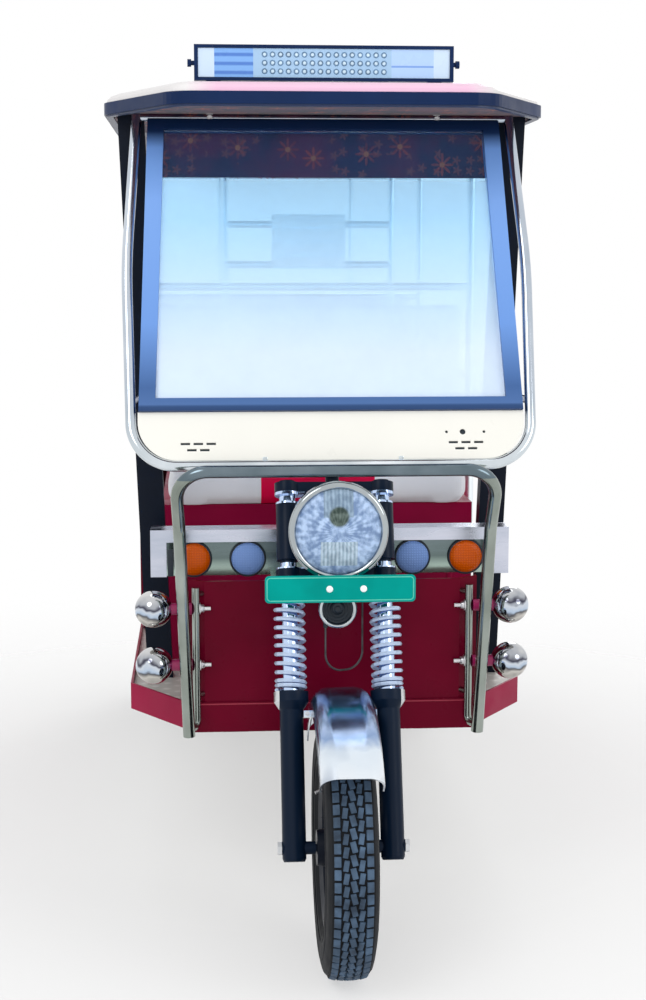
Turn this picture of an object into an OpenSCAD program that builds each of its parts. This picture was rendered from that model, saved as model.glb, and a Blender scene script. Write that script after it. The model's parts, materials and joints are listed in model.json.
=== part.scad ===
// Electric auto rickshaw: a three-wheeled passenger cab with a sprung fork in front,
// an open tube-framed body, facing passenger benches and a driven rear axle.
// Millimetres, +Z up, front towards -Y, origin on the ground under the middle of the vehicle.

/* [Overall] */
// Length from the front of the front tyre to the back of the rear bumper
overall_len = 2690; // [2600:5:2800]
// Distance between the front and rear axles
wheelbase = 2080; // [2040:5:2110]
// Distance between the middles of the rear tyres
rear_track = 736; // [724:2:740]
// Height of the floor's underside
floor_z = 400; // [390:1:405]
// Depth of the floor with its edge rail
floor_t = 45; // [35:1:50]
// Half width of the floor at its widest
floor_half_w = 424; // [415:1:430]

/* [Wheels] */
// Outer radius of the tyres
tyre_r = 247.5; // [240:0.5:252]
// Width of the tyres
tyre_w = 97; // [88:1:100]
// Radius of the rim's bead seat
rim_r = 152.4; // [146:0.2:158]
// Radius of the front axle bolt
front_axle_r = 7.5; // [6:0.5:9]
// Radius of the rear stub axles
stub_r = 12; // [10:0.5:14]
// Running clearance on axles and steering stem
run_gap = 0.05; // [0.02:0.01:0.08]

/* [Fork] */
// Lean of the fork from upright, in degrees
rake = 21; // [19:0.5:22]
// Half distance between the fork legs
fork_half = 95; // [90:1:100]
// Distance of the steering stem behind the legs
stem_offset = 45; // [42:1:50]
// Radius of the steering stem
stem_r = 14; // [12:0.5:16]
// Radius of the fork's inner tubes
stanchion_r = 16; // [14:0.5:18]
// Radius of the lower fork legs
slider_r = 23; // [21:0.5:25]
// Length of the lower fork legs above the axle
slider_top = 300; // [290:2:310]
// Free length of the visible fork springs
spring_len = 220; // [210:1:224]
// Middle radius of the spring coils
spring_r = 28; // [26:0.5:30]
// Radius of the spring wire
spring_wire_r = 4; // [3:0.5:5]
// Number of coils on each spring
spring_coils = 13; // [10:1:14]
// Half width of the handlebar across the grips
handlebar_half = 250; // [230:2:255]

/* [Front] */
// Lean of the windscreen from upright, in degrees
screen_lean = 22; // [20:0.5:24]
// Height of the windscreen hoop's bottom tube
hoop_z = 955; // [950:1:975]
// Half width of the hoop at its bottom
hoop_half_bottom = 405; // [398:1:410]
// Half width of the hoop at its widest
hoop_half_mid = 417; // [410:1:424]
// Half width of the hoop under the roof
hoop_half_top = 395; // [390:1:402]
// Radius of the hoop's tube
hoop_r = 11; // [9:0.5:12]
// Half width of the front panel
panel_half = 303; // [295:1:306]
// Half width of the light bar
light_bar_half = 373; // [365:1:380]
// Radius of the front lamps
lamp_r = 36.5; // [33:0.5:36.5]
// Radius of the guard's tube
guard_r = 12.5; // [10:0.5:14]
// Radius of the polished guard balls
ball_r = 38; // [34:0.5:40]
// Radius of the headlamp's rim
headlamp_r = 98; // [92:1:98]

/* [Cabin] */
// Height of the roof's lower edge
roof_z = 1662; // [1650:1:1680]
// Half width of the roof
roof_half = 458; // [450:1:465]
// Height of the seat boxes' tops
seat_z = 808; // [780:1:815]
// Thickness of the seat cushions
cushion_t = 85; // [70:1:90]
// Radius of the cabin's tubes
rail_r = 12; // [10:0.5:14]

/* [Hidden] */
$fn = 48;
bend_swell = 0.15;                            // how much thicker a bar is in its bends
fine = 0.3;                                   // gap where pieces seat on each other
front_axle_y = -overall_len / 2 + tyre_r;
rear_axle_y = front_axle_y + wheelbase;
rear_end_y = overall_len / 2;
floor_top = floor_z + floor_t;

// Y of a point that far behind the front axle
function back(d) = front_axle_y + d;

// Vectors
function unit(a) = a / norm(a);
function mirrored(points) = [for (i = [len(points) - 1 : -1 : 0])
    [-points[i][0], points[i][1], points[i][2]]];

// Fork, measured along the legs from the axle
spring_top = slider_top + spring_len;
yoke_t = 26;
yoke_front = 14;
lower_yoke = spring_top;
upper_yoke = lower_yoke + yoke_t + 148;
head_tube_gap = 4;
cap_t = 4;
stem_top = upper_yoke + yoke_t + 120;
axle_end = 125;
hub_half = 52;

// Front panel, light bar and neck
panel_d = 290;
panel_t = 5;
apron_z = 463;
light_bar_d = 342;
light_bar_depth = 60;
light_bar_z = 716;
light_bar_h = 98;
light_bar_lip = 26;
light_bar_end = 33;
light_bar_set = 15;
sheet_t = 4;
lamp_xs = [-284, -172, 172, 284];
lamp_z = light_bar_z + 35;
neck_half = 28;

// Chassis
rail_x = 200;
rail_w = 50;
rail_h = 80;
chassis_front_d = 314;
bumper_reach = 42.5;
chassis_back_d = overall_len - tyre_r - bumper_reach;
rail_nose_h = 8;
rail_taper = 290;
nose_cross_d = chassis_front_d + 120;
nose_cross_h = 34;
cross_drop = 10;
cross_w = 60;
cross_mid_d = 1080;

// Windscreen, measured up the slope from the hoop's bottom tube
screen_d = 270;
gasket_lo = 113;
screen_header_r = 8;
screen_header_w = (roof_z + 10 - fine - screen_header_r - hoop_z) / cos(screen_lean);
gasket_hi = screen_header_w - screen_header_r - fine;
gasket_half_lo = 392;
gasket_half_hi = 373;
gasket_side = 34;
gasket_bottom = 27;
gasket_top = 22;
gasket_t = 24;
glass_t = 5;
hoop_corner_r = 92;
hoop_top_w = 790;

// Roof
roof_front_d = 240;
roof_back_d = 2372;
roof_edge_h = 30;
roof_crown_h = 52;
roof_lip = 14;
roof_pocket_h = 16;
liner_t = 6;
liner_z = roof_z + roof_pocket_h - liner_t;
roof_nose_half = 338;
roof_wide_d = 470;
trim_t = 5;

// Light board on the roof
board_half = 274;
board_z = 1739;
board_h = 74;
board_d = 530;
board_depth = 34;

// Cabin posts, boxes and seats
front_post_d = 600;
front_post_w = 56;
front_post_t = 40;
front_post_foot = 362;
front_post_head = 410;
mid_post_d = 1105;
mid_post_x = 405;
inner_post_x = 205;
rear_post_d = 2290;
rear_post_x = 425;
seat_half_w = 360;
front_box_d = 760;
front_box_len = 690;
rear_box_d = 1800;
rear_box_gap = 36;
rear_box_half = 304;
box_wall = 15;
back_top = 1270;
quarter_x = 443;
quarter_t = 18;
quarter_d = 1640;
quarter_back_d = 2306;
rear_box_len = quarter_back_d - rear_box_gap - rear_box_d;
quarter_top = seat_z;
arch_r = 290;
arch_t = 6;
floor_wide_d = 490;
floor_narrow_d = 1700;
floor_step_d = floor_narrow_d - cross_w;
floor_edge_t = 5;
floor_edge_h = 57;
floor_back_d = 2306;
rear_panel_t = 20;
rear_panel_top = 950;
tail_lamp_x = 385;
tail_lamp_z = 800;
tail_lamp_w = 80;
tail_lamp_h = 150;
bumper_r = 16;
bumper_z = 370;
bumper_half = 380;

// A straight round bar between two points
module rod(a, b, r) {
    d = b - a;
    translate(a)
        rotate([0, acos(d[2] / norm(d)), atan2(d[1], d[0])])
            cylinder(h = norm(d), r = r);
}

// A round bar through the points, with a bend of its own radius at each inner point.
// The bends are a hair thicker than the bar and reach over its ends, so that the two join cleanly.
module bent_rod(points, bends, r) {
    last = len(points) - 1;
    dirs = [for (i = [0 : last - 1]) unit(points[i + 1] - points[i])];
    turns = [for (i = [1 : last - 1]) acos(dirs[i - 1] * dirs[i])];
    cuts = [for (i = [1 : last - 1]) bends[i - 1] * tan(turns[i - 1] / 2)];
    for (i = [0 : last - 1])
        rod(points[i] + dirs[i] * (i == 0 ? 0 : cuts[i - 1]),
            points[i + 1] - dirs[i] * (i == last - 1 ? 0 : cuts[i]), r);
    for (i = [1 : last - 1]) {
        axis = unit(cross(dirs[i - 1], dirs[i]));
        inward = cross(axis, dirs[i - 1]);
        centre = points[i] - dirs[i - 1] * cuts[i - 1] + inward * bends[i - 1];
        over = 1.2 / bends[i - 1] * 180 / PI;
        multmatrix([for (k = [0 : 2]) [-inward[k], dirs[i - 1][k], axis[k], centre[k]]])
            rotate(-over)
                rotate_extrude(angle = turns[i - 1] + 2 * over)
                    translate([bends[i - 1], 0])
                        circle(r + bend_swell);
    }
}

// Both sides of a piece
module both_sides() {
    children();
    mirror([1, 0, 0]) children();
}

// A flat rectangle with round corners
module round_rect(w, h, r) {
    square([w - 2 * r, h], center = true);
    square([w, h - 2 * r], center = true);
    for (x = [-1, 1], y = [-1, 1])
        translate([x * (w / 2 - r), y * (h / 2 - r)]) circle(r);
}

// A sheet that faces forward, its front at that distance behind the front axle
module upright(d, t) {
    translate([0, back(d) + t, 0])
        rotate([90, 0, 0])
            linear_extrude(t)
                children();
}

// The fork's own frame: origin on the axle, +Z up the legs
module on_fork() {
    translate([0, front_axle_y, tyre_r])
        rotate([-rake, 0, 0])
            children();
}

// The windscreen's own frame: origin on the hoop's bottom tube, +Y up the slope, +Z outwards
module on_screen() {
    translate([0, back(screen_d), hoop_z])
        rotate([90 - screen_lean, 0, 0])
            children();
}

// A point of the windscreen's frame in the vehicle's frame
function screen_point(x, w) = [x, back(screen_d) + w * sin(screen_lean), hoop_z + w * cos(screen_lean)];

// Rails that taper towards the front, cross members, neck and head tube
module chassis() color("black") difference() {
    union() {
        both_sides()
            translate([rail_x - rail_w / 2, 0, 0])
                rotate([90, 0, 90])
                    linear_extrude(rail_w)
                        rail_side();
        for (d = [floor_step_d, chassis_back_d - cross_w])
            translate([-rail_x, back(d), floor_z - rail_h + cross_drop])
                cube([2 * rail_x, cross_w, rail_h - cross_drop]);
        translate([-rail_x, back(nose_cross_d), floor_z - nose_cross_h])
            cube([2 * rail_x, cross_w, nose_cross_h]);
        translate([-rail_x - rail_w / 2, back(cross_mid_d), floor_z - rail_h - cross_drop])
            cube([2 * rail_x + rail_w, cross_w, rail_h]);
        translate([-neck_half, back(chassis_front_d), floor_z - nose_cross_h])
            cube([2 * neck_half, nose_cross_d - chassis_front_d + 1, nose_cross_h]);
        translate([-neck_half, back(chassis_front_d), floor_z - nose_cross_h])
            cube([2 * neck_half, light_bar_d - fine - chassis_front_d,
                head_top_z() - floor_z + nose_cross_h - 30]);
        on_fork()
            translate([0, stem_offset, lower_yoke + yoke_t + head_tube_gap])
                cylinder(h = head_tube_len(), r = stem_r + 12);
        neck_gusset();
    }
    on_fork()
        translate([0, stem_offset, lower_yoke])
            cylinder(h = upper_yoke - lower_yoke + yoke_t, r = stem_r + run_gap);
}
module rail_side()
    polygon([[back(chassis_front_d), floor_z], [back(chassis_front_d), floor_z - rail_nose_h],
    [back(chassis_front_d + rail_taper), floor_z - rail_h], [back(chassis_back_d), floor_z - rail_h],
    [back(chassis_back_d), floor_z]]);
function head_tube_len() = upper_yoke - lower_yoke - yoke_t - 2 * head_tube_gap;
function head_top_z() = tyre_r + (upper_yoke - head_tube_gap) * cos(rake) - stem_offset * sin(rake);
function head_bottom_z() =
    tyre_r + (lower_yoke + yoke_t + head_tube_gap) * cos(rake) - stem_offset * sin(rake);
module neck_gusset() {
    gusset_half = 10;
    stem_d = (lower_yoke + upper_yoke) / 2 * sin(rake) + stem_offset * cos(rake);
    z_lo = head_bottom_z() + 14;
    z_hi = head_top_z() - 40;
    translate([-gusset_half, 0, 0])
        rotate([90, 0, 90])
            linear_extrude(2 * gusset_half)
                polygon([[back(stem_d), z_lo], [back(chassis_front_d + 4), z_lo - 30],
                    [back(chassis_front_d + 4), z_hi], [back(stem_d), z_hi]]);
}

// The floor's side edge from the front panel to the rear wheels, set in by that much
floor_slant = (floor_half_w - panel_half) / (floor_wide_d - chassis_front_d);
floor_slant_k = sqrt(1 + floor_slant * floor_slant);
function edge_line(inset) = [[panel_half - inset * floor_slant_k, chassis_front_d],
    [floor_half_w - inset, floor_wide_d + inset * (floor_slant_k - 1) / floor_slant],
    [floor_half_w - inset, floor_step_d]];
function reversed(list) = [for (i = [len(list) - 1 : -1 : 0]) list[i]];

// Floor with chamfered front corners, narrow between the rear wheels, notched round the neck
module floor() color("maroon") difference() {
    translate([0, 0, floor_z])
        linear_extrude(floor_t)
            floor_plan();
    translate([-neck_half - fine, back(chassis_front_d) - 1, floor_z - 1])
        cube([2 * (neck_half + fine), light_bar_d - chassis_front_d + 1, floor_t + 2]);
}
module floor_plan() {
    half = concat(edge_line(floor_edge_t + fine),
        [[rear_box_half, floor_step_d], [rear_box_half, floor_back_d]]);
    polygon([for (side = [1, -1], p = side > 0 ? half : reversed(half)) [side * p[0], back(p[1])]]);
}

// Raised edge rail along each side of the floor
module floor_edge() color("maroon") both_sides()
    translate([0, 0, floor_z])
        linear_extrude(floor_edge_h)
            polygon([for (p = concat(edge_line(0), reversed(edge_line(floor_edge_t))))
                [p[0], back(p[1])]]);

// Front panel: a folded sheet with swept-back sides over a lower apron
panel_face_half = panel_half - 40;
panel_sweep = 30;
panel_fold = 14;
module front_panel() color("maroon") {
    panel_top = light_bar_z - fine;
    side_d = chassis_front_d - fine - panel_t;
    translate([0, 0, apron_z])
        linear_extrude(panel_top - apron_z)
            difference() {
                panel_plan(panel_half, panel_face_half, 0, 0);
                panel_plan(panel_half - panel_t, panel_face_half - 2, panel_t, 1);
            }
    translate([-panel_half, back(panel_d - 4), floor_z])
        cube([2 * panel_half, side_d + panel_t - panel_d + 4, apron_z - floor_z]);
}
// The folded sheet's outline in plan, set back by that much
module panel_plan(half, face_half, set, over) {
    face_d = panel_d + set;
    sweep_d = panel_d + panel_sweep + set * 0.6;
    back_d = panel_d + panel_sweep + panel_fold + over;
    polygon([for (p = [[half, back_d], [half, sweep_d], [face_half, face_d],
        [-face_half, face_d], [-half, sweep_d], [-half, back_d]]) [p[0], back(p[1])]]);
}

// Light bar: an open-backed steel channel, its lamp face set back under a rim, on tabs over the panel
tab_x = 110;
tab_w = 30;
module light_bar() color("silver") difference() {
    union() {
        difference() {
            translate([-light_bar_half, back(light_bar_d), light_bar_z])
                cube([2 * light_bar_half, light_bar_depth, light_bar_h]);
            translate([-light_bar_half + light_bar_end, back(light_bar_d) - 1, light_bar_z - 1])
                cube([2 * (light_bar_half - light_bar_end), light_bar_set + 1,
                    light_bar_h - light_bar_lip + 1]);
        }
        for (side = [-1, 1])
            translate([side * tab_x - tab_w / 2, back(panel_d), light_bar_z])
                cube([tab_w, light_bar_d + light_bar_set - panel_d + 1, sheet_t]);
    }
    translate([-light_bar_half + sheet_t, back(light_bar_d + light_bar_set) + sheet_t, light_bar_z - 1])
        cube([2 * (light_bar_half - sheet_t), light_bar_depth, light_bar_h + 1 - sheet_t]);
    for (x = lamp_xs)
        translate([x, back(light_bar_d) - 1, lamp_z])
            rotate([-90, 0, 0])
                cylinder(h = light_bar_set + sheet_t + 2, r = lamp_r - 6 + fine);
}

// Turn signals outside, position lamps inside: a domed lens on a body behind the bar
lens_rise = 9;
module front_lamps() color("orange")
    for (x = lamp_xs)
        translate([x, back(light_bar_d + light_bar_set), lamp_z])
            rotate([90, 0, 0])
                rotate_extrude()
                    polygon(concat(
                        [[0, -12], [lamp_r - 6, -12], [lamp_r - 6, fine], [lamp_r, fine], [lamp_r, 5]],
                        [for (a = [0 : 15 : 90]) [(lamp_r - 4) * cos(a), 7 + lens_rise * sin(a)]]));

// Front guard: a tube up each side and over the headlamp, with a thinner leg behind it bolted to the panel
guard_bar_x = 317;
guard_bar_d = 150;
guard_bar_z = 958;
guard_mid_x = 311;
guard_mid_d = 202;
guard_mid_z = 835;
guard_foot_x = 296;
guard_foot_d = 249;
guard_foot_z = 403;
guard_leg_r = 8;
guard_leg_x = 280;
guard_leg_d = 277;
guard_leg_top = 705;
guard_studs = [690, 480];
module front_guard() color("silver") {
    side = [[-guard_foot_x, back(guard_foot_d), guard_foot_z], [-guard_mid_x, back(guard_mid_d), guard_mid_z],
        [-guard_bar_x, back(guard_bar_d), guard_bar_z]];
    bent_rod(concat(side, mirrored(side)), [90, 60, 60, 90], guard_r);
    both_sides() {
        link_z = guard_foot_z + 14;
        leg = [guard_leg_x, back(guard_leg_d), link_z];
        foot = [guard_foot_x, back(guard_foot_d), link_z];
        bent_rod([foot, leg, [leg[0], leg[1], guard_leg_top]], [14], guard_leg_r);
        for (z = guard_studs) guard_stud([leg[0], leg[1], z]);
    }
}
// A stud from the leg square on to the panel's swept side
module guard_stud(from) {
    sweep = [panel_half - panel_face_half, panel_sweep, 0];
    inward = unit([-sweep[1], sweep[0], 0]);
    corner = [panel_face_half, back(panel_d), from[2]];
    rod(from, from + inward * ((corner - from) * inward - fine), 6);
}

// Polished balls on arms that bolt to the guard's thin legs
ball_zs = [662, 545];
ball_x = 366;
ball_arm_r = 12;
module guard_balls() color("silver")
    both_sides()
        for (z = ball_zs)
            translate([guard_leg_x + guard_leg_r + fine, back(guard_leg_d), z])
                rotate([0, 90, 0])
                    rotate_extrude()
                        ball_section(ball_x - guard_leg_x - guard_leg_r - fine);
module ball_section(reach) difference() {
    union() {
        square([ball_arm_r, reach]);
        translate([0, reach]) circle(ball_r);
    }
    translate([-ball_r - 1, -ball_r]) square([ball_r + 1, reach + 3 * ball_r]);
}

// Windscreen hoop, cut off level under the liner, with the tube across its top
stay_gap = 0.9;
module windscreen_hoop() color("silver") {
    side = [screen_point(-hoop_half_top, hoop_top_w), screen_point(-hoop_half_mid, 430),
        screen_point(-hoop_half_bottom, 0)];
    intersection() {
        bent_rod(concat(side, mirrored(side)), [1400, hoop_corner_r, hoop_corner_r, 1400], hoop_r);
        translate([-roof_half, back(0), hoop_z - 2 * hoop_r])
            cube([2 * roof_half, wheelbase, liner_z - fine - hoop_z + 2 * hoop_r]);
    }
    rod(screen_point(-hoop_half_top, screen_header_w), screen_point(hoop_half_top, screen_header_w),
        screen_header_r);
    both_sides() {
        stay = screen_point(hoop_half_bottom + 2, 135);
        rod(stay, [front_post_foot + 30, back(front_post_d - front_post_t / 2) - stay_gap, stay[2]], 9);
    }
}

// The screen's outline, taken in by that much at the sides, bottom and top
module screen_outline(side, bottom, top) {
    polygon([[-gasket_half_lo + side, gasket_lo + bottom], [gasket_half_lo - side, gasket_lo + bottom],
        [gasket_half_hi - side, gasket_hi - top], [-gasket_half_hi + side, gasket_hi - top]]);
}
module windscreen_gasket() color("midnightblue") on_screen()
    difference() {
        translate([0, 0, -gasket_t / 2]) linear_extrude(gasket_t) screen_outline(0, 0, 0);
        translate([0, 0, -gasket_t / 2 - 1]) linear_extrude(gasket_t + 2)
            screen_outline(gasket_side, gasket_bottom, gasket_top);
    }
module windscreen_glass() color("lightblue", 0.4) on_screen()
    translate([0, 0, -glass_t / 2])
        linear_extrude(glass_t)
            screen_outline(gasket_side + fine, gasket_bottom + fine, gasket_top + fine);

// Cowl below the glass, with its vent slots and switch holes
cowl_t = 4;
slot_rows = [[0, [-26, 0, 26]], [-13, [-13, 13]]];
module cowl() color("ivory") on_screen()
    translate([0, 0, -cowl_t / 2])
        linear_extrude(cowl_t)
            difference() {
                cowl_outline();
                for (side = [-1, 1], row = slot_rows, x = row[1])
                    translate([side * 272 + x, 46 + row[0]]) square([19, 5], center = true);
                for (hole = [[233, 3], [266, 6], [310, 3]])
                    translate([hole[0], 68]) circle(hole[1]);
            }
module cowl_outline() {
    half = hoop_half_bottom - hoop_r - fine;
    low = hoop_r + fine;
    high = gasket_lo - fine;
    r = hoop_corner_r - hoop_r;
    translate([-half + r, low]) square([2 * (half - r), high - low]);
    translate([-half, low + r]) square([2 * half, high - low - r]);
    intersection() {
        translate([-half, low]) square([2 * half, high - low]);
        for (side = [-1, 1]) translate([side * (half - r), low + r]) circle(r);
    }
}

// Front posts: black, leaning out a little towards the roof
module front_posts() color("black") both_sides() {
    lean = atan((front_post_head - front_post_foot) / (liner_z - floor_top));
    intersection() {
        translate([front_post_foot, back(front_post_d), floor_top])
            rotate([0, lean, 0])
                translate([-front_post_w / 2, -front_post_t / 2, -50])
                    cube([front_post_w, front_post_t, liner_z - floor_top + 150]);
        translate([0, back(0), floor_top]) cube([roof_half, wheelbase, liner_z - fine - floor_top]);
    }
}

// Partition behind the driver: side posts, inner posts and rails
rail_zs = [1300, 930];
inner_rail_zs = [1452, 1354];
module partition_frame() color("silver") {
    y = back(mid_post_d);
    both_sides() rod([mid_post_x, y, floor_top], [mid_post_x, y, liner_z - fine], rail_r);
    for (z = rail_zs) rod([-mid_post_x, y, z], [mid_post_x, y, z], rail_r * 0.8);
    both_sides() rod([inner_post_x, y, rail_zs[1]], [inner_post_x, y, liner_z - fine], rail_r * 0.8);
    for (z = inner_rail_zs) rod([-inner_post_x, y, z], [inner_post_x, y, z], rail_r * 0.7);
    translate([-90, y - 12, inner_rail_zs[1] - 10])
        cube([180, 6, inner_rail_zs[0] - inner_rail_zs[1] + 34]);
}

// Rear frame: posts on the body sides, header, sill and middle rails
rear_rail_zs = [1625, 1250, 960];
module rear_frame() color("silver") {
    y = back(rear_post_d);
    both_sides() rod([rear_post_x, y, quarter_top + fine], [rear_post_x, y, liner_z - fine], rail_r);
    for (z = rear_rail_zs) rod([-rear_post_x, y, z], [rear_post_x, y, z], rail_r * 0.9);
    both_sides() rod([inner_post_x, y, rear_rail_zs[1]], [inner_post_x, y, rear_rail_zs[0]], rail_r * 0.7);
}

// Hand rails beside the benches
hand_rail_z = 1080;
hand_rail_r = 10;
hand_rail_bend = 80;
rear_hand_d = 1700;
front_hand_d = 1440;
module side_rails() color("silver") both_sides() {
    hand_rail(rear_post_x, back(rear_post_d) - rail_r - fine, back(rear_hand_d), quarter_top + fine);
    hand_rail(mid_post_x, back(mid_post_d) + rail_r + fine, back(front_hand_d), floor_top);
}
// A rail from a post along to its bend and down
module hand_rail(x, y0, y1, foot_z)
    bent_rod([[x, y0, hand_rail_z], [x, y1, hand_rail_z], [x, y1, foot_z]], [hand_rail_bend], hand_rail_r);

// The roof's outline in plan, taken in by that much: six round corners, anticlockwise from the nose
roof_corner_r = 70;
roof_nose_x = roof_nose_half - roof_corner_r;
roof_side_x = roof_half - roof_corner_r;
roof_nose_y = back(roof_front_d) + roof_corner_r;
roof_wide_y = back(roof_wide_d) + roof_corner_r;
roof_back_y = back(roof_back_d) - roof_corner_r;
roof_sweep = atan((roof_side_x - roof_nose_x) / (roof_wide_y - roof_nose_y));
roof_corners = [[roof_nose_x, roof_nose_y, -90, -roof_sweep], [roof_side_x, roof_wide_y, -roof_sweep, 0],
    [roof_side_x, roof_back_y, 0, 90], [-roof_side_x, roof_back_y, 90, 180],
    [-roof_side_x, roof_wide_y, 180, 180 + roof_sweep],
    [-roof_nose_x, roof_nose_y, 180 + roof_sweep, 270]];
roof_steps = 6;
function roof_ring(inset) = [for (c = roof_corners, k = [0 : roof_steps])
    let (a = c[2] + (c[3] - c[2]) * k / roof_steps, r = roof_corner_r - inset)
        [c[0] + r * cos(a), c[1] + r * sin(a)]];
module roof_plan(inset) polygon(roof_ring(inset));

// The roof's skin as level rings: from the pocket above the liner, round the lip, to the crown
roof_sections = [[roof_lip, roof_pocket_h], [roof_lip, 0], [0, 0], [0, roof_edge_h], [3, roof_edge_h + 6],
    [10, roof_edge_h + 12], [26, roof_edge_h + 18], [60, roof_crown_h]];
module roof() color("white")
    loft([for (s = roof_sections) [for (p = roof_ring(s[0])) [p[0], p[1], roof_z + s[1]]]]);

// A closed skin through rings of points, with flat ends
module loft(rings) {
    count = len(rings[0]);
    last = len(rings) - 1;
    sides = [for (i = [0 : last - 1], k = [0 : count - 1]) let (n = (k + 1) % count)
        [(i + 1) * count + k, (i + 1) * count + n, i * count + n, i * count + k]];
    ends = [[for (k = [0 : count - 1]) k], [for (k = [count - 1 : -1 : 0]) last * count + k]];
    polyhedron([for (ring = rings, p = ring) p], concat(sides, ends));
}
module roof_trim() color("midnightblue")
    translate([0, 0, roof_z + 4])
        linear_extrude(24)
            difference() {
                roof_plan(-trim_t);
                roof_plan(-fine);
            }
module roof_liner() color("darkred")
    translate([0, 0, liner_z])
        linear_extrude(liner_t - fine)
            roof_plan(roof_lip + fine);

// Light board: an open-faced case on feet, with a knob at each end, and its lens
module light_board() color("midnightblue") {
    roof_top = roof_z + roof_crown_h + fine;
    difference() {
        translate([-board_half, back(board_d), board_z]) cube([2 * board_half, board_depth, board_h]);
        translate([-board_half + 8, back(board_d) - 1, board_z + 7])
            cube([2 * board_half - 16, 13, board_h - 14]);
    }
    for (x = [-board_half + 40, board_half - 40])
        translate([x - 15, back(board_d) + 4, roof_top]) cube([30, board_depth - 8, board_z - roof_top]);
    both_sides()
        translate([board_half, back(board_d) + board_depth / 2, board_z + board_h / 2])
            rotate([0, 90, 0])
                rotate_extrude()
                    polygon([[0, 0], [5, 0], [5, 6], [8, 6], [8, 14], [0, 14]]);
}
module light_board_face() color("lightblue")
    translate([-board_half + 8 + fine, back(board_d) + 3, board_z + 7 + fine])
        cube([2 * (board_half - 8 - fine), 9 - fine, board_h - 14 - 2 * fine]);

// Seat boxes: the front one under the driver and the bench behind, the rear one round the batteries
module front_seat_box() color("firebrick") {
    translate([-seat_half_w, back(front_box_d), floor_top])
        cube([2 * seat_half_w, front_box_len, seat_z - floor_top]);
}
module rear_seat_box() color("firebrick") difference() {
    translate([-rear_box_half, back(rear_box_d), floor_top])
        cube([2 * rear_box_half, rear_box_len, seat_z - floor_top]);
    translate([-rear_box_half + box_wall, back(rear_box_d) + box_wall, floor_top - 1])
        cube([2 * (rear_box_half - box_wall), rear_box_len - 2 * box_wall,
            seat_z - floor_top + 1 - box_wall]);
}
battery_gap = 10;
battery_h = 230;
module battery_pack() color("black")
    translate([-rear_box_half + box_wall + battery_gap, back(rear_box_d) + box_wall + battery_gap,
        floor_top])
        cube([2 * (rear_box_half - box_wall - battery_gap), rear_box_len - 2 * (box_wall + battery_gap),
            battery_h]);

// A seat cushion or back pad as a block with round edges along X
module pad(half, d0, d1, z0, z1, r) {
    translate([-half, 0, 0])
        rotate([90, 0, 90])
            linear_extrude(2 * half)
                translate([(back(d0) + back(d1)) / 2, (z0 + z1) / 2])
                    round_rect(d1 - d0, z1 - z0, r);
}
back_gap = 4;
back_t = 50;
pad_lift = 14;
module driver_seat() color("white") {
    back_d1 = mid_post_d - rail_r * 0.8 - fine;
    pad(seat_half_w, front_box_d - 40, back_d1 - back_t - back_gap, seat_z + fine, seat_z + cushion_t, 30);
    pad(seat_half_w + 30, back_d1 - back_t, back_d1, seat_z + cushion_t + pad_lift, back_top, 22);
}
module passenger_seats() color("white") {
    back_d0 = mid_post_d + rail_r * 0.8 + fine;
    pad(seat_half_w, back_d0 + back_t + back_gap, front_box_d + front_box_len + 20, seat_z + fine,
        seat_z + cushion_t, 30);
    pad(seat_half_w + 30, back_d0, back_d0 + back_t, seat_z + cushion_t + pad_lift, back_top, 22);
    rear_d1 = rear_post_d - rail_r * 0.9 - fine;
    pad(seat_half_w + 45, rear_box_d - 40, rear_d1 - back_t - back_gap, seat_z + fine,
        seat_z + cushion_t, 30);
    pad(seat_half_w + 45, rear_d1 - back_t, rear_d1, seat_z + cushion_t + pad_lift, back_top, 22);
}

// Rear quarter panels with their wheel arches
module quarter_panels() color("maroon") both_sides() {
    difference() {
        union() {
            translate([quarter_x - quarter_t, back(quarter_d), floor_z])
                cube([quarter_t, quarter_back_d - quarter_d, quarter_top - floor_z]);
            translate([rear_box_half + fine, back(quarter_d), quarter_top - 20])
                cube([quarter_x - rear_box_half - fine, quarter_back_d - quarter_d, 20]);
            translate([rear_box_half + fine, rear_axle_y, tyre_r])
                rotate([0, 90, 0]) cylinder(h = quarter_x - rear_box_half - fine, r = arch_r + arch_t);
        }
        translate([0, rear_axle_y, tyre_r]) rotate([0, 90, 0]) cylinder(h = quarter_x + 1, r = arch_r);
        translate([0, back(quarter_d), floor_z - 2 * arch_r])
            cube([quarter_x + 1, quarter_back_d - quarter_d, 2 * arch_r]);
        translate([0, back(quarter_back_d), 0]) cube([quarter_x + 1, arch_r, quarter_top]);
    }
}

// Rear panel with openings for the tail lamps
module rear_panel() color("maroon")
    upright(quarter_back_d + fine, rear_panel_t)
        difference() {
            translate([0, (floor_z + rear_panel_top) / 2])
                round_rect(2 * quarter_x, rear_panel_top - floor_z, 30);
            for (side = [-1, 1])
                translate([side * tail_lamp_x, tail_lamp_z])
                    round_rect(tail_lamp_w + 2 * fine, tail_lamp_h + 2 * fine, 20);
        }
module tail_lamps() color("red")
    for (side = [-1, 1])
        translate([side * tail_lamp_x, 0, 0])
            upright(quarter_back_d + fine, rear_panel_t + 22)
                translate([0, tail_lamp_z]) round_rect(tail_lamp_w, tail_lamp_h, 20);

// Rear bumper on the ends of the chassis rails
module rear_bumper() color("silver") {
    y = rear_end_y - bumper_r;
    face_y = back(chassis_back_d) + fine;
    rod([-bumper_half, y, bumper_z], [bumper_half, y, bumper_z], bumper_r);
    for (side = [-1, 1])
        translate([side * rail_x - 15, face_y, bumper_z - 10])
            cube([30, y - face_y, 20]);
}

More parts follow.
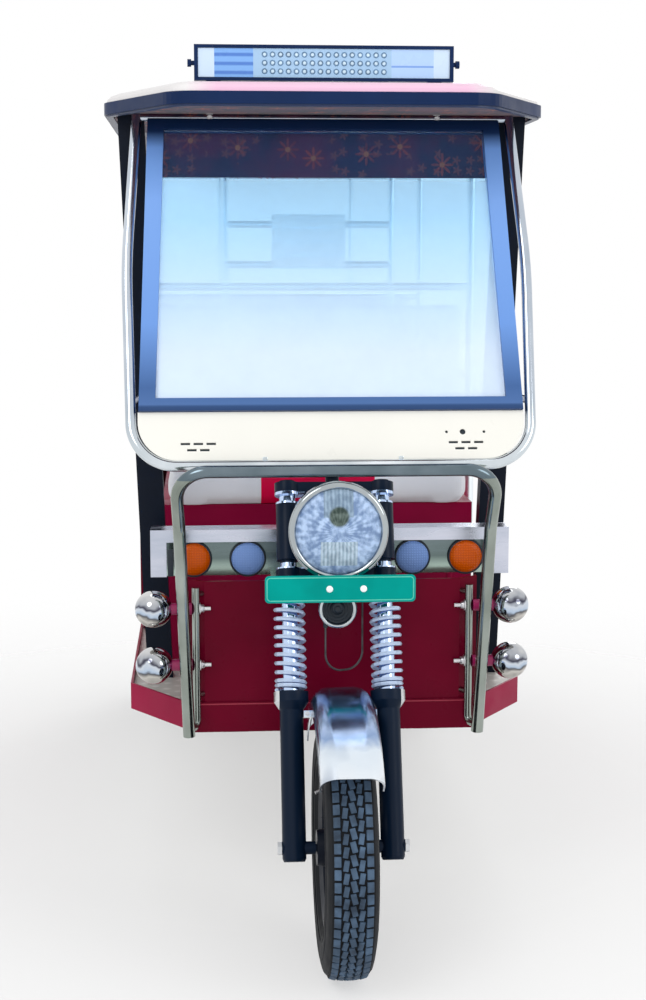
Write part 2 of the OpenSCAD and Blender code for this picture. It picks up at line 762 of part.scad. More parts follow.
// Rear axle: tube, differential and stub axles, on a leaf spring under each chassis rail
axle_tube_r = 30;
axle_tube_half = rear_track / 2 - hub_half - 28;
diff_r = 85;
leaf_w = 46;
leaf_span = 300;
leaf_eye_z = 300;
module rear_axle() color("dimgray") {
    stub_end = rear_track / 2 + 62;
    translate([0, rear_axle_y, tyre_r]) {
        rotate([0, 90, 0]) {
            translate([0, 0, -axle_tube_half]) cylinder(h = 2 * axle_tube_half, r = axle_tube_r);
            translate([0, 0, -stub_end]) cylinder(h = 2 * stub_end, r = stub_r);
            rotate_extrude() intersection() {
                circle(diff_r);
                translate([0, -diff_r * 0.75]) square([diff_r, diff_r * 1.5]);
            }
        }
    }
    both_sides() leaf_spring();
}
leaf_pack = [[1, 8], [0.72, 8], [0.45, 8]];
module leaf_spring() {
    x0 = rail_x - leaf_w / 2;
    sag = leaf_eye_z - tyre_r - axle_tube_r;
    leaf_r = (leaf_span * leaf_span + sag * sag) / (2 * sag);
    translate([x0, rear_axle_y, tyre_r + axle_tube_r - 6])
        rotate([90, 0, 90])
            linear_extrude(leaf_w)
                for (i = [0 : len(leaf_pack) - 1])
                    intersection() {
                        translate([0, leaf_r]) difference() {
                            circle(leaf_r - (2 - i) * 8);
                            circle(leaf_r - (3 - i) * 8);
                        }
                        translate([-leaf_span * leaf_pack[i][0], -10])
                            square([2 * leaf_span * leaf_pack[i][0], 200]);
                    }
    for (end = [-1, 1])
        translate([x0, rear_axle_y + end * (leaf_span - 12), leaf_eye_z + 6]) {
            rotate([0, 90, 0]) cylinder(h = leaf_w, r = 13);
            translate([8, -10, 0]) cube([leaf_w - 16, 20, floor_z - rail_h - leaf_eye_z - 6 - fine]);
        }
}

// Drive motor ahead of the differential
motor_r = 72;
motor_len = 210;
module motor() color("dimgray")
    translate([0, rear_axle_y - diff_r - fine, tyre_r])
        rotate([90, 0, 0]) {
            cylinder(h = motor_len, r = motor_r);
            for (z = [20 : 24 : motor_len - 30]) translate([0, 0, z]) cylinder(h = 10, r = motor_r + 8);
        }

// Foot brake pedal
module foot_pedal() color("black") {
    foot = [-150, back(430), floor_top + 8];
    translate([-165, back(415), floor_top]) cube([30, 30, 16]);
    knee = [-150, back(470), floor_top + 120];
    rod(foot, knee, 7);
    translate(knee) rotate([-50, 0, 0]) translate([-30, -4, -20]) cube([60, 8, 60]);
}

// Fork crown: stem, two yokes, inner tubes and their upper covers
module fork_crown() color("black") on_fork() {
    for (s = [lower_yoke, upper_yoke]) translate([0, 0, s]) yoke();
    translate([0, stem_offset, lower_yoke]) cylinder(h = stem_top - lower_yoke, r = stem_r);
    both_sides() translate([fork_half, 0, 0]) {
        translate([0, 0, slider_top + fine])
            cylinder(h = upper_yoke + yoke_t + cap_t - slider_top, r = stanchion_r);
        translate([0, 0, lower_yoke + yoke_t + 16])
            cylinder(h = upper_yoke - lower_yoke - yoke_t - 30, r = stanchion_r + 7);
    }
}
module yoke() {
    linear_extrude(yoke_t) {
        for (side = [-1, 1]) translate([side * fork_half, 0]) circle(stanchion_r + 9);
        translate([0, stem_offset]) circle(stem_r + 12);
        translate([-fork_half, -yoke_front]) square([2 * fork_half, 2 * yoke_front]);
        translate([-stem_r - 12, 0]) square([2 * (stem_r + 12), stem_offset]);
    }
}

// Lower fork legs with the wheel's axle bolt
collar_r = spring_r + spring_wire_r + 2;
module fork_sliders() color("black") {
    on_fork() both_sides() translate([fork_half, 0, 0])
        rotate_extrude()
            polygon([[0, -26], [slider_r - 3, -26], [slider_r, -20], [slider_r, slider_top - 36],
                [collar_r, slider_top - 20], [collar_r, slider_top], [0, slider_top]]);
    translate([0, front_axle_y, tyre_r]) rotate([0, 90, 0]) {
        translate([0, 0, -axle_end]) cylinder(h = 2 * axle_end, r = front_axle_r);
        for (side = [-1, 1]) {
            translate([0, 0, side * (axle_end - 4) - 6]) cylinder(h = 12, r = 13, $fn = 6);
            translate([0, 0, side > 0 ? hub_half + 2 : -fork_half])
                cylinder(h = fork_half - hub_half - 2, r = front_axle_r + 5);
        }
    }
}

// Fork springs: a round wire wound on each inner tube
spring_sides = 6;
spring_steps = 12;
module fork_springs() color("white") on_fork() both_sides()
    translate([fork_half, 0, slider_top + spring_wire_r + fine])
        coil(spring_r, spring_wire_r, spring_len - 2 * (spring_wire_r + fine), spring_coils);
module coil(r, wire_r, h, turns) {
    steps = turns * spring_steps;
    loft([for (i = [0 : steps]) [for (k = [0 : spring_sides - 1])
        let (a = 360 * k / spring_sides, turn = 360 * turns * i / steps, reach = r + wire_r * cos(a))
        [reach * cos(turn), reach * sin(turn), h * coil_rise(i / steps) + wire_r * sin(a)]]]);
}
// Coils lie close at the bottom and open towards the top
function coil_rise(t) = t < 0.16 ? t * 0.55 : 0.088 + (t - 0.16) * 0.912 / 0.84;

// Handlebar clamped on the stem, swept back to the grips
bar_r = 11;
grip_r = 16;
grip_len = 110;
bar_rise = 10;
module handlebar() color("black") on_fork() {
    level = tan(rake);
    s0 = stem_top + fine + 14;
    side = [[-handlebar_half, stem_offset + 190, s0 + 190 * level + bar_rise],
        [-150, stem_offset + 110, s0 + 110 * level + bar_rise], [-35, stem_offset, s0]];
    bent_rod(concat(side, mirrored(side)), [50, 30, 30, 50], bar_r);
    translate([-20, stem_offset - 18, stem_top + fine]) cube([40, 36, 28]);
    both_sides() rod(side[0], side[0] + unit(side[1] - side[0]) * grip_len, grip_r);
}

// Headlamp: a bowl between the fork covers, with its rim, and a domed lens
headlamp_d = 132;
headlamp_z = 841;
module headlamp_shell() color("silver") {
    translate([0, back(headlamp_d), headlamp_z]) rotate([-90, 0, 0])
        rotate_extrude()
            polygon([[0, 80], [24, 80], [48, 70], [72, 50], [84, 28],
                [headlamp_r - 8, 14], [headlamp_r, 12], [headlamp_r, 0],
                [headlamp_r - 4, -4], [headlamp_r - 13, -4], [headlamp_r - 13, 8], [66, 34], [0, 56]]);
    ear_x = fork_half - stanchion_r - 7 - fine;
    both_sides() translate([ear_x - 5, back(headlamp_d + 44), headlamp_z - 15]) cube([5, 66, 30]);
}
module headlamp_lens() color("lightcyan")
    translate([0, back(headlamp_d), headlamp_z]) rotate([-90, 0, 0])
        rotate_extrude()
            polygon(concat([[0, 6], [headlamp_r - 13 - fine, 6]],
                [for (a = [0 : 10 : 90]) [(headlamp_r - 13 - fine) * cos(a), 2 - 22 * sin(a)]]));

// Horn on the lower yoke: a dished face in a bright ring
horn_d = 150;
horn_z = 684;
horn_r = 37;
module horn() color("black") {
    translate([0, back(horn_d), horn_z]) rotate([-90, 0, 0])
        rotate_extrude()
            polygon([[0, 40], [16, 40], [18, 26],
                [horn_r - 3, 18], [horn_r, 14], [horn_r, 0], [horn_r - 5, 0],
                [horn_r - 7, 6], [14, 9], [10, 3], [0, 3]]);
    translate([-lead_x, back(lead_d), lead_top]) cylinder(h = 20, r = 4.5);
    strap_d = horn_d + 40;
    strap_top = fork_plane_z(lower_yoke, strap_d) - fine;
    translate([-12, back(strap_d - 4), horn_z - 12]) cube([24, 4, strap_top - horn_z + 12]);
}
// The horn's lead: down from its socket, round in a loop and up to the lower yoke
lead_r = 2;
lead_x = 24;
lead_d = 157;
lead_top = horn_z - 39;
lead_low = horn_z - 129;
lead_end_x = 52;
lead_end_d = 186;
lead_bend = 36;
module horn_lead() color("black") {
    end_top = fork_plane_z(lower_yoke, lead_end_d) - 1;
    bent_rod([[-lead_x, back(lead_d), lead_top - fine], [-lead_x, back(lead_d), lead_low],
        [lead_end_x, back(lead_end_d), lead_low], [lead_end_x, back(lead_end_d), end_top]],
        [lead_bend, lead_bend], lead_r);
}

// Height of a level of the fork at that distance behind the front axle
function fork_plane_z(s, d) = tyre_r + s * cos(rake) - (d - s * sin(rake)) * tan(rake);

// Where the lower yoke's front face begins
function yoke_front_d() = lower_yoke * sin(rake) - yoke_front * cos(rake);

// Number plate, blank, with its two fixing holes and the bracket behind
plate_d = 84;
plate_w = 292;
plate_h = 53;
plate_z = 736;
plate_t = 3;
plate_hole_mid = 12;
plate_hole_x = 33;
plate_hole_r = 3;
module number_plate() color("mediumseagreen") {
    upright(plate_d, plate_t)
        difference() {
            translate([0, plate_z]) round_rect(plate_w, plate_h, 8);
            for (side = [-1, 1])
                translate([plate_hole_mid + side * plate_hole_x, plate_z]) circle(plate_hole_r);
        }
    strap_z = fork_plane_z(lower_yoke, yoke_front_d()) + 3;
    for (x = [-60, 60]) {
        translate([x - 15, back(plate_d) + plate_t, strap_z])
            cube([30, yoke_front_d() - plate_d - plate_t - fine, 4]);
        translate([x - 15, back(plate_d) + plate_t, plate_z]) cube([30, 3, strap_z + 4 - plate_z]);
    }
}

// Front mudguard: a rolled guard on two stays to the fork legs
guard_gap = 58.5;
guard_half_w = 58.5;
guard_sheet = 3;
guard_front = 48;
guard_back = 52;
guard_stay_s = slider_top - 50;
module front_mudguard() color("silver") {
    r = tyre_r + guard_gap;
    translate([0, front_axle_y, tyre_r]) {
        rotate([0, -90, 0]) rotate([0, 0, -guard_front])
            rotate_extrude(angle = guard_front + guard_back)
                difference() {
                    guard_section(r, guard_half_w);
                    guard_section(r - guard_sheet, guard_half_w - guard_sheet);
                    translate([0, -guard_half_w - 1]) square([tyre_r + 4, 2 * guard_half_w + 2]);
                }
    }
    on_fork() both_sides()
        translate([guard_half_w - guard_sheet + 0.5, -12, guard_stay_s])
            cube([fork_half - slider_r - fine - guard_half_w + guard_sheet - 0.5, 24, 12]);
}
// Rolled section: a flat-crowned arch, open towards the axle
module guard_section(r, half) {
    edge = 34;
    translate([tyre_r - 20, -half]) square([r - tyre_r + 20 - edge, 2 * half]);
    translate([tyre_r - 20, -half + edge]) square([r - tyre_r + 20, 2 * (half - edge)]);
    for (side = [-1, 1]) translate([r - edge, side * (half - edge)]) circle(edge);
}

// Wheels
module on_wheel(x, y) translate([x, y, tyre_r]) rotate([0, 90, 0]) children();
module tyre() color("black")
    rotate_extrude()
        polygon(tyre_section());
// The tyre's section: a rounded square, a little squarer than an ellipse
function tyre_section() = let (mid = (rim_r + fine + tyre_r) / 2, high = (tyre_r - rim_r - fine) / 2)
    [for (a = [0 : 10 : 350]) [mid + high * squarish(sin(a)), tyre_w / 2 * squarish(cos(a))]];
function squarish(t) = sign(t) * pow(abs(t), 0.62);
module rim(bore_r) color("gray") difference() {
    rotate_extrude()
        polygon([[bore_r, -hub_half], [34, -hub_half], [38, -20], [rim_r - 26, -12],
            [rim_r - 14, -tyre_w * 0.33], [rim_r + 5, -tyre_w * 0.4], [rim_r, -tyre_w * 0.33],
            [rim_r, tyre_w * 0.33], [rim_r + 5, tyre_w * 0.4], [rim_r - 14, tyre_w * 0.33],
            [rim_r - 26, 2], [38, 0], [34, hub_half], [bore_r, hub_half]]);
    for (a = [0 : 72 : 359])
        rotate(a)
            translate([86, 0, -hub_half])
                cylinder(h = 2 * hub_half, r = 20);
}
module front_tyre() on_wheel(0, front_axle_y) tyre();
module front_rim() on_wheel(0, front_axle_y) rim(front_axle_r + run_gap);
module rear_tyre_left() on_wheel(rear_track / 2, rear_axle_y) tyre();
module rear_rim_left() on_wheel(rear_track / 2, rear_axle_y) rim(stub_r + run_gap);
module rear_tyre_right() on_wheel(-rear_track / 2, rear_axle_y) tyre();
module rear_rim_right() on_wheel(-rear_track / 2, rear_axle_y) rim(stub_r + run_gap);

chassis();
floor();
floor_edge();
front_panel();
light_bar();
front_lamps();
front_guard();
guard_balls();
windscreen_hoop();
windscreen_gasket();
windscreen_glass();
cowl();
front_posts();
partition_frame();
rear_frame();
side_rails();
roof();
roof_trim();
roof_liner();
light_board();
light_board_face();
front_seat_box();
driver_seat();
passenger_seats();
rear_seat_box();
battery_pack();
quarter_panels();
rear_panel();
tail_lamps();
rear_bumper();
rear_axle();
motor();
foot_pedal();
fork_crown();
fork_sliders();
fork_springs();
handlebar();
headlamp_shell();
headlamp_lens();
horn();
horn_lead();
number_plate();
front_mudguard();
front_tyre();
front_rim();
rear_tyre_left();
rear_rim_left();
rear_tyre_right();
rear_rim_right();
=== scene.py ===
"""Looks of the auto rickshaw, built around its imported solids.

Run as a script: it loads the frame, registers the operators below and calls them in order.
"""

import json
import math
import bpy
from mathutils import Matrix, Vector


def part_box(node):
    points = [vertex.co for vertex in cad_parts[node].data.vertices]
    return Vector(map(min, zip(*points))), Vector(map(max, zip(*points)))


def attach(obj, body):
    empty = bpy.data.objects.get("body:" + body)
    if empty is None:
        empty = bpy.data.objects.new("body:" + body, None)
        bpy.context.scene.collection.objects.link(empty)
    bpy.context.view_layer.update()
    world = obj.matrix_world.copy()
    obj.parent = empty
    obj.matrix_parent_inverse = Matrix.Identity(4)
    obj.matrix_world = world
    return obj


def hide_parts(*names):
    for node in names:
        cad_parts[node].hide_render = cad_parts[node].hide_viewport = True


bl_info = {
    "name": "Auto rickshaw",
    "version": (1, 0, 0),
    "blender": (4, 5, 0),
    "location": "View3D > Sidebar > Rickshaw",
    "description": "Dresses the auto rickshaw's solids: cushions, tyre treads, lamps, trim, fasteners and finishes",
    "category": "Object",
}

import bmesh
import bpy
from bpy.props import FloatProperty, FloatVectorProperty, IntProperty, PointerProperty
from mathutils import Matrix, Vector

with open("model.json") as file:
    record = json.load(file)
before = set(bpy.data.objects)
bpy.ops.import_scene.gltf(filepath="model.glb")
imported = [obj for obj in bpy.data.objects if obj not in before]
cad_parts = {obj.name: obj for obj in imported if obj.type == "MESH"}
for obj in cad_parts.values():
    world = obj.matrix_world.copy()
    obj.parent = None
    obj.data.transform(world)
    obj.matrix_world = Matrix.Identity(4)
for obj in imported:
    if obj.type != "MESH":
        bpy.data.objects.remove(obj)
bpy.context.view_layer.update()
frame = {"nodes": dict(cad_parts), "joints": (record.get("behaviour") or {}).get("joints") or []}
NODES = frame["nodes"]
JOINTS = {j["name"]: j for j in frame["joints"]}
FRONT_AXLE = Vector(JOINTS["front_wheel_spin"]["pos_m"])
REAR_AXLE_LEFT = Vector(JOINTS["rear_wheel_left_spin"]["pos_m"])
STEER_UP = Vector(JOINTS["steer"]["axis"])
STEER_BACK = Vector((0, STEER_UP.z, -STEER_UP.y))
X_AXIS, Y_AXIS = Vector((1, 0, 0)), Vector((0, 1, 0))
SIDES = (-1, 1)
FULL_TURN = 2 * math.pi
FORK_BLACK = (0.003, 0.010, 0.026)
BALL_R = 0.038
SCREEN_LEAN = math.radians(22)
SCREEN_FOOT = (0.270, 0.955)  # behind the front axle, above the ground


def colour_prop(label, words, value):
    return FloatVectorProperty(name=label, description=words, subtype="COLOR", size=3, min=0, max=1, default=value)


def length_prop(label, words, value):
    return FloatProperty(name=label, description=words, unit="LENGTH", subtype="DISTANCE", min=0, default=value)


class RickshawColours(bpy.types.PropertyGroup):
    """Colours of the painted, moulded and covered parts"""

    maroon: colour_prop("Body paint", "Deep red of the front panel and rear body", (0.130, 0.0008, 0.015))
    cream: colour_prop("Cowl paint", "Near-white cream of the cowl under the windscreen", (0.90, 0.89, 0.83))
    black: colour_prop("Frame paint", "Blue-black of the posts, rims and chassis", (0.003, 0.006, 0.014))
    navy: colour_prop("Trim", "Dark navy of the gasket, roof edge and board case", (0.003, 0.018, 0.075))
    roof: colour_prop("Roof cover", "Off-white of the roof's cover", (0.84, 0.82, 0.82))
    seat: colour_prop("Seat cover", "Pale lavender white of the seat covers", (0.94, 0.95, 1.0))
    seat_middle: colour_prop("Seat middle", "Red of the seats' middle panels", (0.86, 0.001, 0.07))
    liner: colour_prop("Liner", "Ground colour of the roof lining", (0.020, 0.010, 0.045))
    plate: colour_prop("Plate", "Green of the blank number plate", (0.0, 0.30, 0.26))
    amber: colour_prop("Turn lamp", "Orange of the outer front lamps", (0.70, 0.12, 0.001))


class RickshawSizes(bpy.types.PropertyGroup):
    """Sizes of the details"""

    tread_depth: length_prop("Tread depth", "Height of the tyres' tread blocks", 0.006)
    tread_pitches: IntProperty(name="Tread pitches", description="Tread blocks round each tyre", min=20, default=66)
    bolt_r: length_prop("Bolt size", "Half width of the hexagon bolt heads", 0.0085)
    dot_r: length_prop("Light dots", "Radius of the dots on the light board", 0.0062)
    panel_half: length_prop("Seat middle", "Half width of the seats' red middle panels", 0.131)


# Mesh helpers


def fork_point(x, back, up):
    """A point of the fork's own frame: across, behind the legs and up along them from the axle."""
    return FRONT_AXLE + X_AXIS * x + STEER_BACK * back + STEER_UP * up


def turn_to(axis):
    """Rotation that takes +Z to that direction."""
    return Vector(axis).to_track_quat("Z", "Y").to_matrix().to_4x4()


def rod(bm, a, b, r, segments=16, r_end=None):
    """A capped round bar between two points."""
    a, b = Vector(a), Vector(b)
    matrix = Matrix.Translation((a + b) / 2) @ turn_to(b - a)
    end = r if r_end is None else r_end
    return bmesh.ops.create_cone(
        bm, cap_ends=True, segments=segments, radius1=r, radius2=end, depth=(b - a).length, matrix=matrix
    )["verts"]


def bevel_edges(bm, edges, offset, segments=2):
    bmesh.ops.bevel(
        bm, geom=list(edges), offset=offset, offset_type="OFFSET", affect="EDGES",
        segments=segments, profile=0.5, material=-1, clamp_overlap=True,
    )


def block(bm, centre, size, bevel=0.001, turn=None, segments=2):
    """A box with eased edges."""
    matrix = Matrix.Translation(centre) @ (turn or Matrix.Identity(4)) @ Matrix.Diagonal((*size, 1))
    verts = bmesh.ops.create_cube(bm, size=1, matrix=matrix)["verts"]
    if bevel:
        bevel_edges(bm, {e for v in verts for e in v.link_edges}, bevel, segments)


def hex_bolt(bm, at, axis, r, height=None):
    """A hexagon head on a round washer, its seat at that point."""
    at, axis = Vector(at), Vector(axis).normalized()
    height = height or r * 0.9
    washer = r * 0.28
    rod(bm, at, at + axis * washer, r * 1.4, 20)
    head = rod(bm, at + axis * washer, at + axis * (washer + height), r * 1.12, 6, r * 1.0)
    bevel_edges(bm, {e for v in head for e in v.link_edges if len(e.link_faces) == 2}, r * 0.1, 1)


def ring(bm, centre, axis, radius, thick, arc=FULL_TURN, start=None, segments=12, steps=64):
    """A round wire bent to a circle or to an arc about the axis."""
    centre, axis = Vector(centre), Vector(axis).normalized()
    out = Vector(start).normalized() if start is not None else axis.orthogonal().normalized()
    at = centre + out * radius
    tangent = axis.cross(out)
    circle = bmesh.ops.create_circle(
        bm, cap_ends=False, segments=segments, radius=thick, matrix=Matrix.Translation(at) @ turn_to(tangent)
    )["verts"]
    edges = list({e for v in circle for e in v.link_edges})
    full = abs(arc - FULL_TURN) < 1e-6
    before = set(bm.faces)
    last = bmesh.ops.spin(bm, geom=circle + edges, cent=centre, axis=axis, angle=arc, steps=steps, use_merge=full)
    if not full:
        for loop in (edges, [e for e in last["geom_last"] if isinstance(e, bmesh.types.BMEdge)]):
            bmesh.ops.edgeloop_fill(bm, edges=loop)
    bmesh.ops.recalc_face_normals(bm, faces=[f for f in bm.faces if f not in before])


def turned(bm, profile, centre, axis, steps=48):
    """A solid of revolution: profile is a list of (radius, distance along the axis), first and last on the axis."""
    axis = Vector(axis).normalized()
    out = axis.orthogonal().normalized()
    verts = [bm.verts.new(Vector(centre) + out * r + axis * h) for r, h in profile]
    edges = [bm.edges.new(pair) for pair in zip(verts, verts[1:])]
    before = set(bm.faces)
    bmesh.ops.spin(bm, geom=verts + edges, cent=centre, axis=axis, angle=FULL_TURN, steps=steps, use_merge=True)
    new = [f for f in bm.faces if f not in before]
    near = list({v for f in new for v in f.verts})
    bmesh.ops.remove_doubles(bm, verts=near, dist=1e-5)
    bmesh.ops.recalc_face_normals(bm, faces=[f for f in bm.faces if f not in before])


def piece(name, bm, material, body, smooth=True, replaces=()):
    """Makes the mesh an object of the scene that rides on a body."""
    mesh = bpy.data.meshes.new(name)
    bm.to_mesh(mesh)
    bm.free()
    obj = bpy.data.objects.new(name, mesh)
    bpy.context.scene.collection.objects.link(obj)
    for m in material if isinstance(material, (list, tuple)) else [material]:
        mesh.materials.append(m)
    if smooth:
        mesh.shade_smooth()
        mesh.set_sharp_from_angle(angle=math.radians(35))
    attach(obj, body)
    if replaces:
        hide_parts(*replaces)
    return obj


# Materials


class Finish:
    """A node material with a few calls for its texture nodes."""

    def __init__(self, name, colour, rough, metal=0.0, **sockets):
        self.mat = bpy.data.materials.new(name)
        self.mat.use_nodes = True
        self.tree = self.mat.node_tree
        self.shader = self.tree.nodes["Principled BSDF"]
        self.colour = tuple(colour)
        self.set("Base Color", (*colour, 1))
        self.set("Roughness", rough)
        self.set("Metallic", metal)
        for socket, value in sockets.items():
            self.set(socket.replace("_", " "), value)
        self.mat.diffuse_color = (*colour, 1)
        self.object = self.node("ShaderNodeTexCoord").outputs["Object"]

    def set(self, socket, value):
        self.shader.inputs[socket].default_value = value

    def node(self, kind, **values):
        n = self.tree.nodes.new(kind)
        for key, value in values.items():
            setattr(n, key, value)
        return n

    def link(self, a, b):
        self.tree.links.new(a, b)
        return b

    def to(self, output, socket):
        self.link(output, self.shader.inputs[socket])

    def math(self, operation, a, b=None, c=None):
        n = self.node("ShaderNodeMath", operation=operation)
        for i, value in enumerate((a, b, c)):
            if value is None:
                continue
            if hasattr(value, "links"):
                self.link(value, n.inputs[i])
            else:
                n.inputs[i].default_value = value
        return n.outputs[0]

    def axis(self, which, vector=None):
        n = self.node("ShaderNodeSeparateXYZ")
        self.link(vector or self.object, n.inputs[0])
        return n.outputs[which]

    def mapped(self, scale, vector=None, turn=(0, 0, 0), shift=(0, 0, 0)):
        n = self.node("ShaderNodeMapping")
        self.link(vector or self.object, n.inputs["Vector"])
        n.inputs["Scale"].default_value = scale
        n.inputs["Rotation"].default_value = turn
        n.inputs["Location"].default_value = shift
        return n.outputs[0]

    def noise(self, scale, detail=3.0, vector=None, rough=0.5):
        n = self.node("ShaderNodeTexNoise")
        self.link(vector or self.object, n.inputs["Vector"])
        n.inputs["Scale"].default_value = scale
        n.inputs["Detail"].default_value = detail
        n.inputs["Roughness"].default_value = rough
        return n.outputs["Fac"]

    def ramp(self, fac, stops):
        n = self.node("ShaderNodeValToRGB")
        self.link(fac, n.inputs[0])
        elements = n.color_ramp.elements
        while len(elements) < len(stops):
            elements.new(0.5)
        for element, (place, colour) in zip(elements, stops):
            element.position = place
            element.color = (*colour, 1)
        return n.outputs[0]

    def remap(self, value, low, high, start=0.3, end=0.7):
        n = self.node("ShaderNodeMapRange")
        self.link(value, n.inputs["Value"])
        for key, v in (("From Min", start), ("From Max", end), ("To Min", low), ("To Max", high)):
            n.inputs[key].default_value = v
        return n.outputs[0]

    def mix(self, fac, a, b):
        n = self.node("ShaderNodeMix", data_type="RGBA")
        self.link(fac, n.inputs[0])
        for i, value in ((6, a), (7, b)):
            if hasattr(value, "links"):
                self.link(value, n.inputs[i])
            else:
                n.inputs[i].default_value = (*value, 1)
        return n.outputs[2]

    def bump(self, height, strength, distance):
        n = self.node("ShaderNodeBump")
        self.link(height, n.inputs["Height"])
        n.inputs["Strength"].default_value = strength
        n.inputs["Distance"].default_value = distance
        self.to(n.outputs[0], "Normal")

    def inside(self, value, low, high):
        """One where the value lies between two limits, else nought."""
        return self.math("MULTIPLY", self.math("GREATER_THAN", value, low), self.math("LESS_THAN", value, high))

    def bands(self, direction, scale, vector=None):
        n = self.node("ShaderNodeTexWave", wave_type="BANDS", bands_direction=direction)
        self.link(vector or self.object, n.inputs["Vector"])
        n.inputs["Scale"].default_value = scale
        return n.outputs["Fac"]

    def prisms(self, scale):
        """A lens's square prisms, seen from the front or back."""
        return self.math("MULTIPLY", self.bands("X", scale), self.bands("Z", scale))

    def vary(self, scale=5.0, amount=0.12):
        """Colour that drifts a little over the surface."""
        low = tuple(c * (1 - amount) for c in self.colour)
        high = tuple(min(1, c * (1 + amount)) for c in self.colour)
        out = self.ramp(self.noise(scale, 4), [(0.3, low), (0.7, high)])
        self.to(out, "Base Color")
        return out

    def worn(self, low, high, scale=18.0):
        """Roughness that changes from place to place."""
        self.to(self.remap(self.noise(scale, 5), low, high), "Roughness")


def paint(name, colour, rough=0.3, shine=0.2, vary=0.1):
    f = Finish(name, colour, rough, Specular_IOR_Level=shine)
    f.vary(3.5, vary)
    f.worn(rough * 0.8, rough * 1.35)
    f.bump(f.noise(140, 2), 0.05, 0.0004)
    return f


def metal(name, colour, rough, brushed=(1, 1, 1), vary=0.06):
    f = Finish(name, colour, rough, 1.0)
    f.vary(7, vary)
    streaks = f.noise(90, 3, f.mapped(brushed))
    f.to(f.remap(streaks, rough * 0.7, rough * 1.5), "Roughness")
    f.bump(streaks, 0.04, 0.0003)
    return f


def coating(name, colour, rough, vary, worn=None, grain=None, metal=0.0, **sockets):
    """A plain finish with drifting colour, and with uneven gloss and grain where they are given."""
    f = Finish(name, colour, rough, metal, **sockets)
    f.vary(*vary)
    if worn:
        f.worn(*worn)
    if grain:
        scale, strength, distance = grain
        f.bump(f.noise(scale, 2), strength, distance)
    return f.mat


